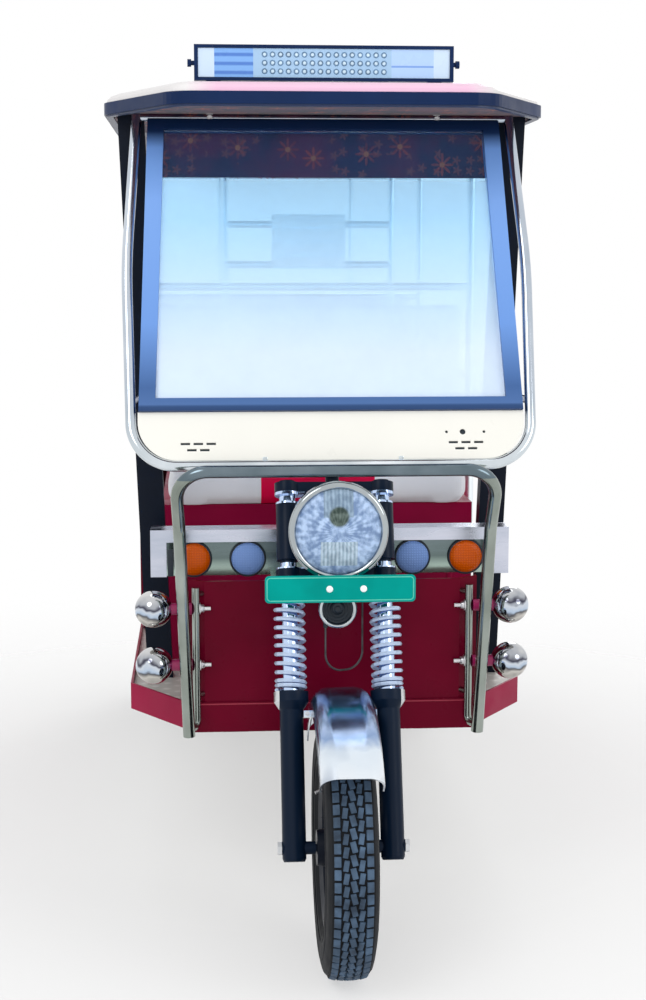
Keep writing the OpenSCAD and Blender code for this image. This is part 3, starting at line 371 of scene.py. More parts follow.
def make_materials(colours):
    """Every finish of the object, by name."""
    m = {}
    m["maroon"] = paint("deep_red_paint", colours.maroon, 0.3, 0.07, 0.22).mat
    m["cream"] = paint("cream_paint", colours.cream, 0.32, 0.3, 0.02).mat
    m["black"] = paint("black_paint", colours.black, 0.34, 0.12, 0.3).mat
    m["red_panel"] = paint("red_panel_paint", (0.30, 0.004, 0.045), 0.36, 0.1, 0.2).mat
    m["fold"] = paint("fold_line_paint", (0.30, 0.03, 0.055), 0.4, 0.2, 0.2).mat
    m["stainless"] = metal("polished_stainless", (0.30, 0.335, 0.30), 0.16, (1, 1, 0.12), 0.28).mat
    m["guard"] = guard_steel()
    m["hoop"] = hoop_steel()
    m["light_bar"] = light_bar_steel()
    m["rail"] = metal("pale_rails", (0.84, 0.90, 0.93), 0.3, (1, 1, 0.15)).mat
    m["chrome"] = metal("bright_chrome", (0.44, 0.48, 0.50), 0.06, vary=0.2).mat
    m["zinc"] = metal("zinc_bolts", (0.70, 0.70, 0.72), 0.32, vary=0.12).mat
    m["alloy"] = metal("cast_alloy", (0.42, 0.42, 0.43), 0.45, vary=0.1).mat
    m["iron"] = metal("dark_iron", (0.10, 0.10, 0.105), 0.5, vary=0.15).mat
    m["mudguard"] = mudguard_chrome()
    m["gasket"] = gasket_rubber(colours.navy)

    m["trim"] = coating("navy_trim", colours.navy, 0.35, (6, 0.2), (0.28, 0.45), (320, 0.1, 0.0003),
                        Specular_IOR_Level=0.15)
    m["moulding"] = coating("black_moulding", (0.006, 0.013, 0.022), 0.5, (9, 0.25), grain=(420, 0.25, 0.0004))

    f = Finish("tyre_rubber", (0.02, 0.026, 0.034), 0.7, Specular_IOR_Level=0.25)
    rear = f.math("GREATER_THAN", f.axis(1), 0.0)
    hub_y = f.math("MULTIPLY_ADD", rear, REAR_AXLE_LEFT.y - FRONT_AXLE.y, FRONT_AXLE.y)
    along = f.math("SUBTRACT", f.axis(1), hub_y)
    up = f.math("SUBTRACT", f.axis(2), FRONT_AXLE.z)
    reach = f.math("SQRT", f.math("ADD", f.math("MULTIPLY", along, along), f.math("MULTIPLY", up, up)))
    # Painted light: by distance from the hub the tread tops get a painted blue-grey highlight and the grooves and
    # sidewalls a darker painted shade; the noise varies dust and this painted sheen at random.
    dust_and_sheen = f.noise(30, 6)
    low = f.ramp(dust_and_sheen, [(0.35, (0.004, 0.005, 0.007)), (0.75, (0.012, 0.014, 0.018))])
    top = f.ramp(dust_and_sheen, [(0.3, (0.022, 0.036, 0.058)), (0.7, (0.085, 0.140, 0.220))])
    f.to(f.mix(f.remap(reach, 0, 1, 0.2415, 0.2435), low, top), "Base Color")
    f.to(f.remap(dust_and_sheen, 0.6, 0.85), "Roughness")
    f.bump(f.noise(500, 3), 0.3, 0.0006)
    m["tyre"] = f.mat

    # the cover reddens along the front edge
    f = Finish("roof_cover", colours.roof, 0.45, Coat_Weight=0.15)
    grain = f.noise(420, 3)
    across = f.math("MULTIPLY", f.remap(f.axis(0), 0, 1, -0.29, -0.23), f.remap(f.axis(0), 1, 0, 0.26, 0.32))
    front = f.remap(f.axis(1), 1, 0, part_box("roof")[0].y + 0.045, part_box("roof")[0].y + 0.09)
    blush = f.math("MULTIPLY", across, front)
    base = f.ramp(f.noise(4, 5), [(0.3, tuple(c * 0.93 for c in colours.roof)), (0.7, tuple(colours.roof))])
    lip = f.math("LESS_THAN", f.axis(2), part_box("roof_trim")[0].z + 0.0005)
    f.to(f.mix(lip, f.mix(blush, base, (0.84, 0.52, 0.70)), tuple(colours.navy)), "Base Color")
    f.bump(grain, 0.12, 0.0005)
    m["roof"] = f.mat

    f = Finish("windscreen_glass", (0.60, 0.80, 1.0), 0.0, IOR=1.2, Specular_IOR_Level=0.25)
    height = f.axis(2)
    tint = f.ramp(f.remap(height, 0, 1, 1.05, 1.55), [(0.25, (0.76, 0.87, 1.0)), (0.8, (0.50, 0.78, 1.0))])
    f.to(tint, "Base Color")
    # Painted reflection: the glass is made part cloudy so its pale colour shows as a painted white glare, strongest
    # low down, weaker higher up and gone just under the top edge.
    glare_fade = f.remap(height, 0.72, 0.42, 1.08, 1.42)
    top = f.remap(height, 0.0, 1.0, 1.528, 1.538)
    drift = f.remap(f.noise(5, 4), 0.9, 1.1)
    below_top = f.math("SUBTRACT", 1.0, f.math("MULTIPLY", top, 0.96))
    painted_glare = f.math("MULTIPLY", f.math("MULTIPLY", glare_fade, drift), below_top)
    f.to(f.math("SUBTRACT", 1.0, painted_glare), "Transmission Weight")
    f.to(f.remap(f.noise(7, 3), 0.0, 0.02), "Roughness")
    m["glass"] = f.mat

    f = Finish("lamp_glass", (0.62, 0.78, 1.0), 0.03, IOR=1.25, Specular_IOR_Level=0.3)
    lo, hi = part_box("headlamp_lens")
    across, height = f.axis(0), f.math("SUBTRACT", f.axis(2), (lo.z + hi.z) / 2)
    flutes = f.bands("X", 42)
    spokes = f.math("SINE", f.math("MULTIPLY", f.math("ARCTAN2", height, across), 34.0))
    cloudy = f.math("MULTIPLY_ADD", spokes, 0.05, f.noise(70, 4))
    fan = f.remap(cloudy, 0, 1, 0.36, 0.64)
    middle = f.inside(across, -0.036, 0.036)
    foot = f.math("MULTIPLY", middle, f.inside(height, -0.066, -0.018))
    crown = f.math("MULTIPLY", f.inside(across, -0.030, 0.028), f.math("GREATER_THAN", height, 0.030))
    rise = f.math("SUBTRACT", height, 0.031)
    round_r = f.math("SQRT", f.math("ADD", f.math("MULTIPLY", across, across), f.math("MULTIPLY", rise, rise)))
    shade = f.remap(round_r, 1, 0, 0.017, 0.022)
    # The lens's colours are a painted reflection of the reflector behind it: pale blue facets, brighter flutes low in
    # the middle, darker flutes in the crown and the lampshade's dark disc.
    colour = f.ramp(fan, [(0.0, (0.24, 0.36, 0.60)), (1.0, (0.52, 0.68, 0.94))])
    bright = f.ramp(flutes, [(0.2, (0.34, 0.45, 0.50)), (0.8, (0.62, 0.75, 0.82))])
    colour = f.mix(f.math("MULTIPLY", foot, 0.7), colour, bright)
    dim = f.ramp(flutes, [(0.2, (0.20, 0.29, 0.36)), (0.8, (0.32, 0.43, 0.52))])
    colour = f.mix(f.math("MULTIPLY", crown, 0.7), colour, dim)
    f.to(f.mix(shade, colour, f.ramp(fan, [(0.0, (0.06, 0.09, 0.08)), (1.0, (0.16, 0.21, 0.19))])), "Base Color")
    f.to(f.remap(fan, 0.3, 0.1, 0, 1), "Transmission Weight")
    f.bump(flutes, 0.3, 0.0015)
    m["lamp_glass"] = f.mat

    m["shade"] = coating("lamp_shade", (0.09, 0.13, 0.12), 0.35, (60, 0.4))

    f = Finish("front_lamp_lens", colours.amber, 0.12, Specular_IOR_Level=0.2)
    inner = f.math("LESS_THAN", f.math("ABSOLUTE", f.axis(0)), 0.228)
    prisms = f.prisms(60)
    glow = f.ramp(prisms, [(0.1, (0.50, 0.07, 0.001)), (0.8, tuple(colours.amber))])
    clear = f.ramp(prisms, [(0.1, (0.16, 0.28, 0.60)), (0.8, (0.24, 0.39, 0.78))])
    f.to(f.mix(inner, glow, clear), "Base Color")
    f.bump(prisms, 0.35, 0.0012)
    m["front_lens"] = f.mat

    f = Finish("tail_lamp_lens", (0.55, 0.01, 0.01), 0.12, Specular_IOR_Level=0.3)
    prisms = f.prisms(30)
    red = f.ramp(prisms, [(0.1, (0.34, 0.004, 0.004)), (0.8, (0.62, 0.012, 0.01))])
    amber = f.ramp(prisms, [(0.1, (0.60, 0.11, 0.004)), (0.8, (0.90, 0.25, 0.02))])
    high = f.math("GREATER_THAN", f.axis(2), 0.835)
    f.to(f.mix(high, red, amber), "Base Color")
    f.bump(prisms, 0.35, 0.0015)
    m["tail_lens"] = f.mat

    f = Finish("board_lens", (0.45, 0.64, 0.92), 0.25, Specular_IOR_Level=0.3)
    across, height = f.axis(0), f.axis(2)
    lo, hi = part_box("light_board_face")
    left = f.ramp(f.bands("Z", 17), [(0.1, (0.09, 0.22, 0.62)), (0.55, (0.22, 0.44, 0.86))])
    line = f.inside(height, (lo.z + hi.z) / 2 - 0.008, (lo.z + hi.z) / 2 - 0.004)
    right = f.mix(line, (0.46, 0.64, 0.94), (0.22, 0.38, 0.80))
    colour = f.mix(f.math("GREATER_THAN", across, 0.0), left, right)
    colour = f.mix(f.inside(across, -0.150, 0.142), colour, (0.38, 0.57, 0.80))
    ends = f.math("GREATER_THAN", f.math("ABSOLUTE", across), hi.x - 0.034)
    f.to(f.mix(ends, colour, (0.62, 0.76, 0.94)), "Base Color")
    f.worn(0.2, 0.35)
    m["board_lens"] = f.mat

    m["dots"] = coating("light_dots", (0.62, 0.78, 0.92), 0.2, (60, 0.12), Specular_IOR_Level=0.3)
    m["dot_rims"] = coating("dot_rims", (0.12, 0.22, 0.36), 0.4, (60, 0.3))
    m["liner"] = flowered_cloth(colours.liner)
    m["plate"] = coating("number_plate_paint", colours.plate, 0.4, (12, 0.12), (0.28, 0.5), Specular_IOR_Level=0.05)
    m["plate_edge"] = coating("number_plate_edge", (0.10, 0.55, 0.42), 0.4, (12, 0.1), (0.28, 0.5),
                              Specular_IOR_Level=0.2)
    m["pale"] = coating("pale_enamel", (0.93, 0.94, 0.95), 0.35, (14, 0.06), (0.3, 0.5))
    m["spring"] = coating("spring_coating", (0.50, 0.61, 0.80), 0.3, (20, 0.1), (0.22, 0.42), metal=0.2)

    f = Finish("chequer_floor", (0.62, 0.60, 0.56), 0.45)
    turned_map = f.mapped((1, 1, 1), turn=(0, 0, math.pi / 4))
    lozenge = f.math("MULTIPLY", f.bands("X", 9, turned_map), f.bands("Y", 9, turned_map))
    f.to(f.ramp(lozenge, [(0.3, (0.55, 0.53, 0.49)), (0.8, (0.70, 0.68, 0.64))]), "Base Color")
    f.bump(lozenge, 0.5, 0.002)
    m["floor"] = f.mat

    m["ball"] = ball_chrome()

    m["seat"] = seat_cover("seat_cover", colours, True)
    m["seat_plain"] = seat_cover("seat_cover_plain", colours, False)
    m["fork"] = fork_paint(FORK_BLACK)
    m["handlebar"] = handlebar_finish()
    m["slider"] = slider_paint(FORK_BLACK)
    return m


def seat_cover(name, colours, with_middle):
    """Grained seat cover, with a red middle panel between the seams."""
    f = Finish(name, colours.seat, 0.48, Specular_IOR_Level=0.15)
    white = f.ramp(f.noise(7, 5), [(0.3, tuple(c * 0.92 for c in colours.seat)), (0.7, tuple(colours.seat))])
    if with_middle:
        half = bpy.context.scene.rickshaw_sizes.panel_half
        middle = f.math("LESS_THAN", f.math("ABSOLUTE", f.axis(0)), half)
        dark = tuple(c * 0.8 for c in colours.seat_middle)
        red = f.ramp(f.noise(9, 5), [(0.3, dark), (0.7, tuple(colours.seat_middle))])
        f.to(f.mix(middle, white, red), "Base Color")
    else:
        f.to(white, "Base Color")
    pores = f.node("ShaderNodeTexVoronoi", voronoi_dimensions="3D")
    f.link(f.object, pores.inputs["Vector"])
    pores.inputs["Scale"].default_value = 420
    f.bump(pores.outputs["Distance"], 0.25, 0.0006)
    f.worn(0.4, 0.58, 12)
    return f.mat


def flowered_cloth(ground):
    """Printed lining: star flowers and small blossoms on a dark ground, on flat and on upright cloth."""
    f = Finish("flowered_lining", ground, 0.8, Sheen_Weight=0.2)
    join = f.node("ShaderNodeCombineXYZ")
    f.link(f.axis(0), join.inputs[0])
    f.link(f.math("ADD", f.axis(1), f.axis(2)), join.inputs[1])
    sheet = join.outputs[0]

    def blossoms(scale, petals, size, wave, shift):
        flat = f.mapped((scale, scale, 0.001), sheet, shift=(shift, shift, 0))
        cells = f.node("ShaderNodeTexVoronoi", voronoi_dimensions="2D")
        f.link(flat, cells.inputs["Vector"])
        cells.inputs["Scale"].default_value = 1
        cells.inputs["Randomness"].default_value = 0.6
        away = f.node("ShaderNodeVectorMath", operation="SUBTRACT")
        f.link(flat, away.inputs[0])
        f.link(cells.outputs["Position"], away.inputs[1])
        angle = f.math("ARCTAN2", f.axis(1, away.outputs[0]), f.axis(0, away.outputs[0]))
        lobes = f.math("COSINE", f.math("MULTIPLY", angle, petals))
        edge = f.math("MULTIPLY_ADD", lobes, wave, size)
        distance = cells.outputs["Distance"]
        return f.math("LESS_THAN", distance, edge), f.math("LESS_THAN", distance, size * 0.4)

    big, heart = blossoms(11, 8, 0.16, 0.11, 0.3)
    small, _ = blossoms(30, 5, 0.22, 0.10, 0.7)
    wine = tuple(a + b for a, b in zip(ground, (0.075, 0.0, 0.0)))
    cloth = f.ramp(f.noise(11, 4), [(0.4, tuple(ground)), (0.6, wine)])
    some = f.math("MULTIPLY", small, f.math("GREATER_THAN", f.noise(6, 2), 0.5))
    colour = f.mix(some, cloth, (0.16, 0.035, 0.05))
    colour = f.mix(f.math("MULTIPLY", big, f.remap(f.noise(14, 3), 0.25, 1.0)), colour, (0.30, 0.035, 0.035))
    f.to(f.mix(heart, colour, (0.36, 0.09, 0.05)), "Base Color")
    f.bump(f.noise(900, 2), 0.2, 0.0004)
    return f.mat


def guard_steel():
    """Polished tube guard with a painted dark reflection along its top bar."""
    f = Finish("guard_steel", (0.30, 0.335, 0.30), 0.16, 1.0)
    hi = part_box("front_guard")[1]
    streaks = f.noise(24, 4, f.mapped((0.3, 1, 0.3)))
    legs = f.ramp(streaks, [(0.3, (0.22, 0.25, 0.22)), (0.7, (0.37, 0.41, 0.38))])
    # Painted dark reflection: the top bar is coloured darker than the legs.
    bar = f.ramp(streaks, [(0.3, (0.09, 0.13, 0.15)), (0.7, (0.22, 0.27, 0.31))])
    f.to(f.mix(f.math("GREATER_THAN", f.axis(2), hi.z - 0.03), legs, bar), "Base Color")
    f.to(f.remap(streaks, 0.1, 0.24), "Roughness")
    f.bump(streaks, 0.04, 0.0003)
    return f.mat


def hoop_steel():
    """Polished tube with painted light: lighter across the bottom, where it lies in shade, and darker up the upright
    legs, against their bright reflections.
    """
    f = Finish("hoop_steel", (0.72, 0.76, 0.80), 0.12, 1.0)
    height = f.remap(f.axis(2), 0, 1, 0.99, 1.12)
    streaks = f.noise(9, 4, f.mapped((1, 1, 0.5)))
    # Painted light: the bottom is painted lighter and the upright legs darker.
    low = f.ramp(streaks, [(0.3, (0.56, 0.62, 0.66)), (0.7, (0.84, 0.89, 0.93))])
    high = f.ramp(streaks, [(0.3, (0.42, 0.48, 0.56)), (0.7, (0.62, 0.67, 0.74))])
    f.to(f.mix(height, low, high), "Base Color")
    f.to(f.remap(streaks, 0.08, 0.2), "Roughness")
    return f.mat


def light_bar_steel():
    """Pressed steel bar of one metal with painted light: pale lip and ends as painted highlights round a darker,
    greener set-back face as painted shade.
    """
    f = Finish("light_bar_steel", (0.25, 0.33, 0.26), 0.22, 1.0)
    lo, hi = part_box("light_bar")
    wide = f.math("ABSOLUTE", f.axis(0))
    # Painted light: the proud lip and ends are painted pale, the set-back face darker as painted shade, and a paler
    # painted reflection runs along the face's foot.
    lip = f.math("MAXIMUM", f.math("GREATER_THAN", f.axis(2), hi.z - 0.0262),
                 f.math("GREATER_THAN", wide, hi.x - 0.0332))
    streaks = f.noise(30, 4, f.mapped((0.2, 1, 1)))
    face = f.ramp(streaks, [(0.3, (0.10, 0.14, 0.13)), (0.7, (0.18, 0.23, 0.24))])
    foot = f.remap(f.axis(2), 1, 0, lo.z + 0.012, lo.z + 0.036)
    face = f.mix(foot, face, (0.42, 0.54, 0.48))
    edge = f.ramp(streaks, [(0.3, (0.48, 0.52, 0.62)), (0.7, (0.66, 0.68, 0.78))])
    f.to(f.mix(lip, face, edge), "Base Color")
    f.to(f.remap(streaks, 0.16, 0.34), "Roughness")
    f.bump(streaks, 0.05, 0.0004)
    return f.mat


def mudguard_chrome():
    """Plated guard with painted reflections: blue-grey on the crown, nearly white down the front and dark patches
    here and there.
    """
    f = Finish("mudguard_chrome", (0.6, 0.66, 0.74), 0.08, 1.0)
    lo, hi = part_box("front_mudguard")
    # Painted reflections: bands of colour by height, with dark painted reflection patches over them.
    drift = f.math("MULTIPLY_ADD", f.noise(16, 3), 0.05, f.axis(2))
    share = f.remap(drift, 0, 1, lo.z + 0.045, hi.z + 0.015)
    reflection_bands = f.ramp(share, [(0.0, (0.46, 0.50, 0.56)), (0.22, (0.82, 0.87, 0.92)), (0.5, (0.74, 0.82, 0.90)),
                             (0.68, (0.28, 0.40, 0.64)), (0.8, (0.42, 0.54, 0.78)), (1.0, (0.20, 0.31, 0.56))])
    dark_reflection_patches = f.remap(f.noise(11, 1, f.mapped((1, 1, 0.6))), 0, 0.55, 0.5, 0.66)
    f.to(f.mix(dark_reflection_patches, reflection_bands, (0.22, 0.30, 0.44)), "Base Color")
    f.to(f.remap(f.noise(20, 3), 0.16, 0.26), "Roughness")
    return f.mat


def gasket_rubber(navy):
    """Navy rubber with a painted blue reflection up the sides; darkest along the top and at the bottom edge."""
    f = Finish("gasket_rubber", navy, 0.42, Specular_IOR_Level=0.2)
    lo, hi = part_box("windscreen_gasket")
    share = f.remap(f.axis(2), 0, 1, lo.z, hi.z)
    # Painted reflection: the light blue up the sides stands in for a blue reflection on the rubber.
    stops = [(0.0, (0.010, 0.030, 0.10)), (0.030, (0.03, 0.075, 0.20)), (0.034, (0.075, 0.16, 0.38)),
             (0.09, (0.055, 0.13, 0.33)), (0.3, (0.16, 0.33, 0.75)), (0.72, (0.22, 0.42, 0.88)),
             (0.90, (0.15, 0.31, 0.70)), (0.955, (0.006, 0.022, 0.080)), (1.0, (0.002, 0.012, 0.045))]
    f.to(f.ramp(share, stops), "Base Color")
    f.worn(0.34, 0.5)
    f.bump(f.noise(260, 2), 0.12, 0.0004)
    return f.mat


def ball_chrome():
    """Chrome balls with a painted reflection, a dark horizon band across each, on deep red arms."""
    f = Finish("ball_and_arm", (0.7, 0.72, 0.76), 0.05, 1.0)
    lo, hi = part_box("guard_balls")
    r = BALL_R
    high = f.math("GREATER_THAN", f.axis(2), (lo.z + hi.z) / 2)
    middle = f.math("MULTIPLY_ADD", high, hi.z - lo.z - 2 * r, lo.z + r)
    swirl = f.math("MULTIPLY_ADD", f.noise(26, 2), 0.05, -0.025)
    share = f.remap(f.math("ADD", f.math("SUBTRACT", f.axis(2), middle), swirl), 0, 1, -r, r)
    # Painted reflection: light and dark bands by height across each ball, swirled by noise.
    painted_reflection = f.ramp(share, [(0.0, (0.30, 0.29, 0.27)), (0.22, (0.62, 0.60, 0.56)), (0.36, (0.10, 0.10, 0.11)),
                            (0.44, (0.46, 0.56, 0.70)), (0.58, (0.62, 0.67, 0.74)), (0.66, (0.04, 0.04, 0.07)),
                            (0.76, (0.40, 0.42, 0.46)), (1.0, (0.66, 0.66, 0.66))])
    arm = f.math("LESS_THAN", f.math("ABSOLUTE", f.axis(0)), hi.x - 0.0735)
    f.to(f.mix(arm, painted_reflection, (0.26, 0.006, 0.075)), "Base Color")
    f.to(f.remap(arm, 1.0, 0.0, 0, 1), "Metallic")
    f.to(f.remap(arm, 0.05, 0.3, 0, 1), "Roughness")
    return f.mat


def slider_paint(black):
    """Black lower legs with bare bright axle ends."""
    f = Finish("fork_slider_finish", black, 0.34, Specular_IOR_Level=0.12)
    bare = f.math("GREATER_THAN", f.math("ABSOLUTE", f.axis(0)), 0.119)
    f.to(f.mix(bare, tuple(black), (0.66, 0.68, 0.70)), "Base Color")
    f.to(bare, "Metallic")
    f.worn(0.28, 0.42)
    f.bump(f.noise(160, 2), 0.06, 0.0004)
    return f.mat


def fork_paint(black):
    """Black fork crown whose inner tubes below the lower yoke are bare chrome."""
    f = Finish("fork_crown_finish", black, 0.3, Specular_IOR_Level=0.12)
    along = f.node("ShaderNodeVectorMath", operation="DOT_PRODUCT")
    f.link(f.object, along.inputs[0])
    along.inputs[1].default_value = STEER_UP
    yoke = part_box("fork_springs")[1].z
    edge = (FRONT_AXLE + STEER_UP * ((yoke - FRONT_AXLE.z) / STEER_UP.z)).dot(STEER_UP) - 0.004
    bare = f.math("LESS_THAN", along.outputs["Value"], edge)
    foot = FRONT_AXLE.dot(STEER_UP)
    leg = f.math("GREATER_THAN", f.math("ABSOLUTE", f.axis(0)), 0.06)
    for low, high in ((0.543, 0.556), (0.676, 0.70)):
        band = f.inside(along.outputs["Value"], foot + low, foot + high)
        bare = f.math("MAXIMUM", bare, f.math("MULTIPLY", band, leg))
    f.to(f.mix(bare, tuple(black), (0.55, 0.68, 0.92)), "Base Color")
    f.to(bare, "Metallic")
    f.to(f.remap(bare, 0.3, 0.08, 0, 1), "Roughness")
    f.bump(f.noise(160, 2), 0.06, 0.0004)
    return f.mat


def handlebar_finish():
    """Painted bar with ribbed rubber grips."""
    f = Finish("handlebar_finish", (0.02, 0.02, 0.022), 0.35)
    grip = f.math("GREATER_THAN", f.math("ABSOLUTE", f.axis(0)), 0.165)
    ribs = f.bands("X", 60)
    f.to(f.remap(grip, 0.3, 0.75, 0, 1), "Roughness")
    f.to(f.mix(grip, (0.45, 0.45, 0.46), (0.015, 0.015, 0.016)), "Base Color")
    f.to(f.remap(grip, 1.0, 0.0, 0, 1), "Metallic")
    f.bump(f.math("MULTIPLY", ribs, grip), 0.4, 0.001)
    return f.mat


MATS = {}

NODE_FINISH = {
    "chassis": "black", "floor": "floor", "front_panel": "maroon", "light_bar": "light_bar",
    "front_lamps": "front_lens", "front_guard": "guard", "guard_balls": "ball", "floor_edge": "red_panel",
    "windscreen_hoop": "hoop", "windscreen_gasket": "gasket", "windscreen_glass": "glass", "cowl": "cream",
    "horn_lead": "iron",
    "front_posts": "black", "partition_frame": "rail", "rear_frame": "rail", "side_rails": "rail",
    "roof": "roof", "roof_trim": "trim", "roof_liner": "liner", "light_board": "trim",
    "light_board_face": "board_lens", "front_seat_box": "red_panel", "rear_seat_box": "red_panel",
    "battery_pack": "moulding", "quarter_panels": "maroon", "rear_panel": "maroon", "tail_lamps": "tail_lens",
    "rear_bumper": "stainless", "rear_axle": "iron", "motor": "alloy", "foot_pedal": "black", "fork_crown": "fork",
    "fork_sliders": "slider", "fork_springs": "spring", "handlebar": "handlebar", "headlamp_shell": "chrome",
    "headlamp_lens": "lamp_glass", "horn": "moulding", "number_plate": "plate", "front_mudguard": "mudguard",
    "front_rim": "black", "rear_rim_left": "black", "rear_rim_right": "black", "driver_seat": "seat",
    "passenger_seats": "seat", "front_tyre": "tyre", "rear_tyre_left": "tyre", "rear_tyre_right": "tyre",
}


class RICKSHAW_OT_finishes(bpy.types.Operator):
    """Make the materials and put them on the CAD solids"""

    bl_idname = "rickshaw.finishes"
    bl_label = "Finishes"

    def execute(self, context):
        MATS.update(make_materials(context.scene.rickshaw_colours))
        for name, obj in NODES.items():
            obj.data.materials.clear()
            obj.data.materials.append(MATS[NODE_FINISH[name]])
            obj.data.shade_smooth()
            obj.data.set_sharp_from_angle(angle=math.radians(32))
        NODES["windscreen_glass"].visible_shadow = False
        return {"FINISHED"}


# Seats

CUSHION_T = 0.0847
BACK_T = 0.05
BACK_GAP = 0.004
PAD_LIFT = 0.0143
VOXEL = 0.011
SWELL_CAP = 0.011
PAD_INSET = 0.006


def pad_boxes():
    """Name, low and high corner, side that stays flat and body of each pad, from the CAD seats' boxes."""
    lo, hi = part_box("driver_seat")
    seat_top = lo.z + CUSHION_T
    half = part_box("front_seat_box")[1].x
    yield "driver_cushion", (-half, lo.y, lo.z), (half, hi.y - BACK_T - BACK_GAP, seat_top), "driver_seat", "z"
    yield "driver_back", (lo.x, hi.y - BACK_T, seat_top + PAD_LIFT), (hi.x, hi.y, hi.z), "driver_seat", "y"
    plo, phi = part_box("passenger_seats")
    bench_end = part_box("front_seat_box")[1].y + 0.02
    rear_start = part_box("rear_seat_box")[0].y - 0.04
    wide = phi.x
    yield ("front_bench_back", (lo.x, plo.y, seat_top + PAD_LIFT), (hi.x, plo.y + BACK_T, phi.z),
           "passenger_seats", "-y")
    yield ("front_bench_cushion", (-half, plo.y + BACK_T + BACK_GAP, plo.z), (half, bench_end, seat_top),
           "passenger_seats", "z")
    yield ("rear_bench_cushion", (-wide, rear_start, plo.z), (wide, phi.y - BACK_T - BACK_GAP, seat_top),
           "passenger_seats", "z")
    yield ("rear_bench_back", (-wide, phi.y - BACK_T, seat_top + PAD_LIFT), (wide, phi.y, phi.z),
           "passenger_seats", "y")


def swell(obj):
    """Puffs a closed pad with cloth pressure and keeps the result; gives back the points from before, for the caller
    to limit the move.
    """
    bpy.context.view_layer.objects.active = obj
    remesh = obj.modifiers.new("skin", "REMESH")
    remesh.mode = "VOXEL"
    remesh.voxel_size = VOXEL
    bpy.ops.object.modifier_apply(modifier=remesh.name)
    start = [v.co.copy() for v in obj.data.vertices]
    cloth = obj.modifiers.new("air", "CLOTH")
    s = cloth.settings
    s.use_pressure = True
    s.uniform_pressure_force = 4
    s.quality = 4
    s.effector_weights.gravity = 0
    scene = bpy.context.scene
    scene.frame_start, scene.frame_end = 1, 20
    for number in range(1, 15):
        scene.frame_set(number)
    bpy.ops.object.modifier_apply(modifier=cloth.name)
    scene.frame_set(1)
    return start


def make_pad(name, lo, hi, flat):
    """One cushion: a rounded block, puffed, flat where it is held, with sewn channels either side of the middle."""
    lo, hi = Vector(lo), Vector(hi)
    half_panel = bpy.context.scene.rickshaw_sizes.panel_half
    inset = Vector((PAD_INSET, PAD_INSET, PAD_INSET))
    size = hi - lo - 2 * inset
    bm = bmesh.new()
    block(bm, (lo + hi) / 2, size, min(size) * 0.32, segments=4)
    cover = MATS["seat"] if flat == "z" else MATS["seat_plain"]
    obj = piece(name, bm, cover, "body")
    start = swell(obj)
    for v, was in zip(obj.data.vertices, start):
        move = v.co - was
        if move.length > SWELL_CAP:
            v.co = was + move * (SWELL_CAP / move.length)
        for seam in (-half_panel, half_panel):
            near = abs(v.co.x - seam)
            if near < 0.02:
                dip = 0.006 * (1 + math.cos(math.pi * near / 0.02)) / 2
                middle = (lo + hi) / 2
                if flat == "z":
                    v.co.z -= dip * (1 if v.co.z > middle.z else 0)
                else:
                    v.co.y -= dip * (1 if v.co.y > middle.y else -1)
        if flat == "z" and v.co.z < lo.z + PAD_INSET * 1.2:
            v.co.z = lo.z
        if flat == "y" and v.co.y > hi.y - PAD_INSET * 1.2:
            v.co.y = hi.y
        if flat == "-y" and v.co.y < lo.y + PAD_INSET * 1.2:
            v.co.y = lo.y
        v.co = Vector(min(max(c, a), b) for c, a, b in zip(v.co, lo, hi))
    smooth = obj.modifiers.new("smooth", "SUBSURF")
    smooth.levels = smooth.render_levels = 1
    return obj


class RICKSHAW_OT_seats(bpy.types.Operator):
    """Make the driver's seat and the passengers' benches as puffed pads"""

    bl_idname = "rickshaw.seats"
    bl_label = "Seats"

    def execute(self, context):
        made = {}
        for name, lo, hi, node, flat in pad_boxes():
            made.setdefault(node, []).append(make_pad(name, lo, hi, flat))
        for node, pads in made.items():
            for pad in pads:
                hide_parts(node)
        return {"FINISHED"}


# Tyres


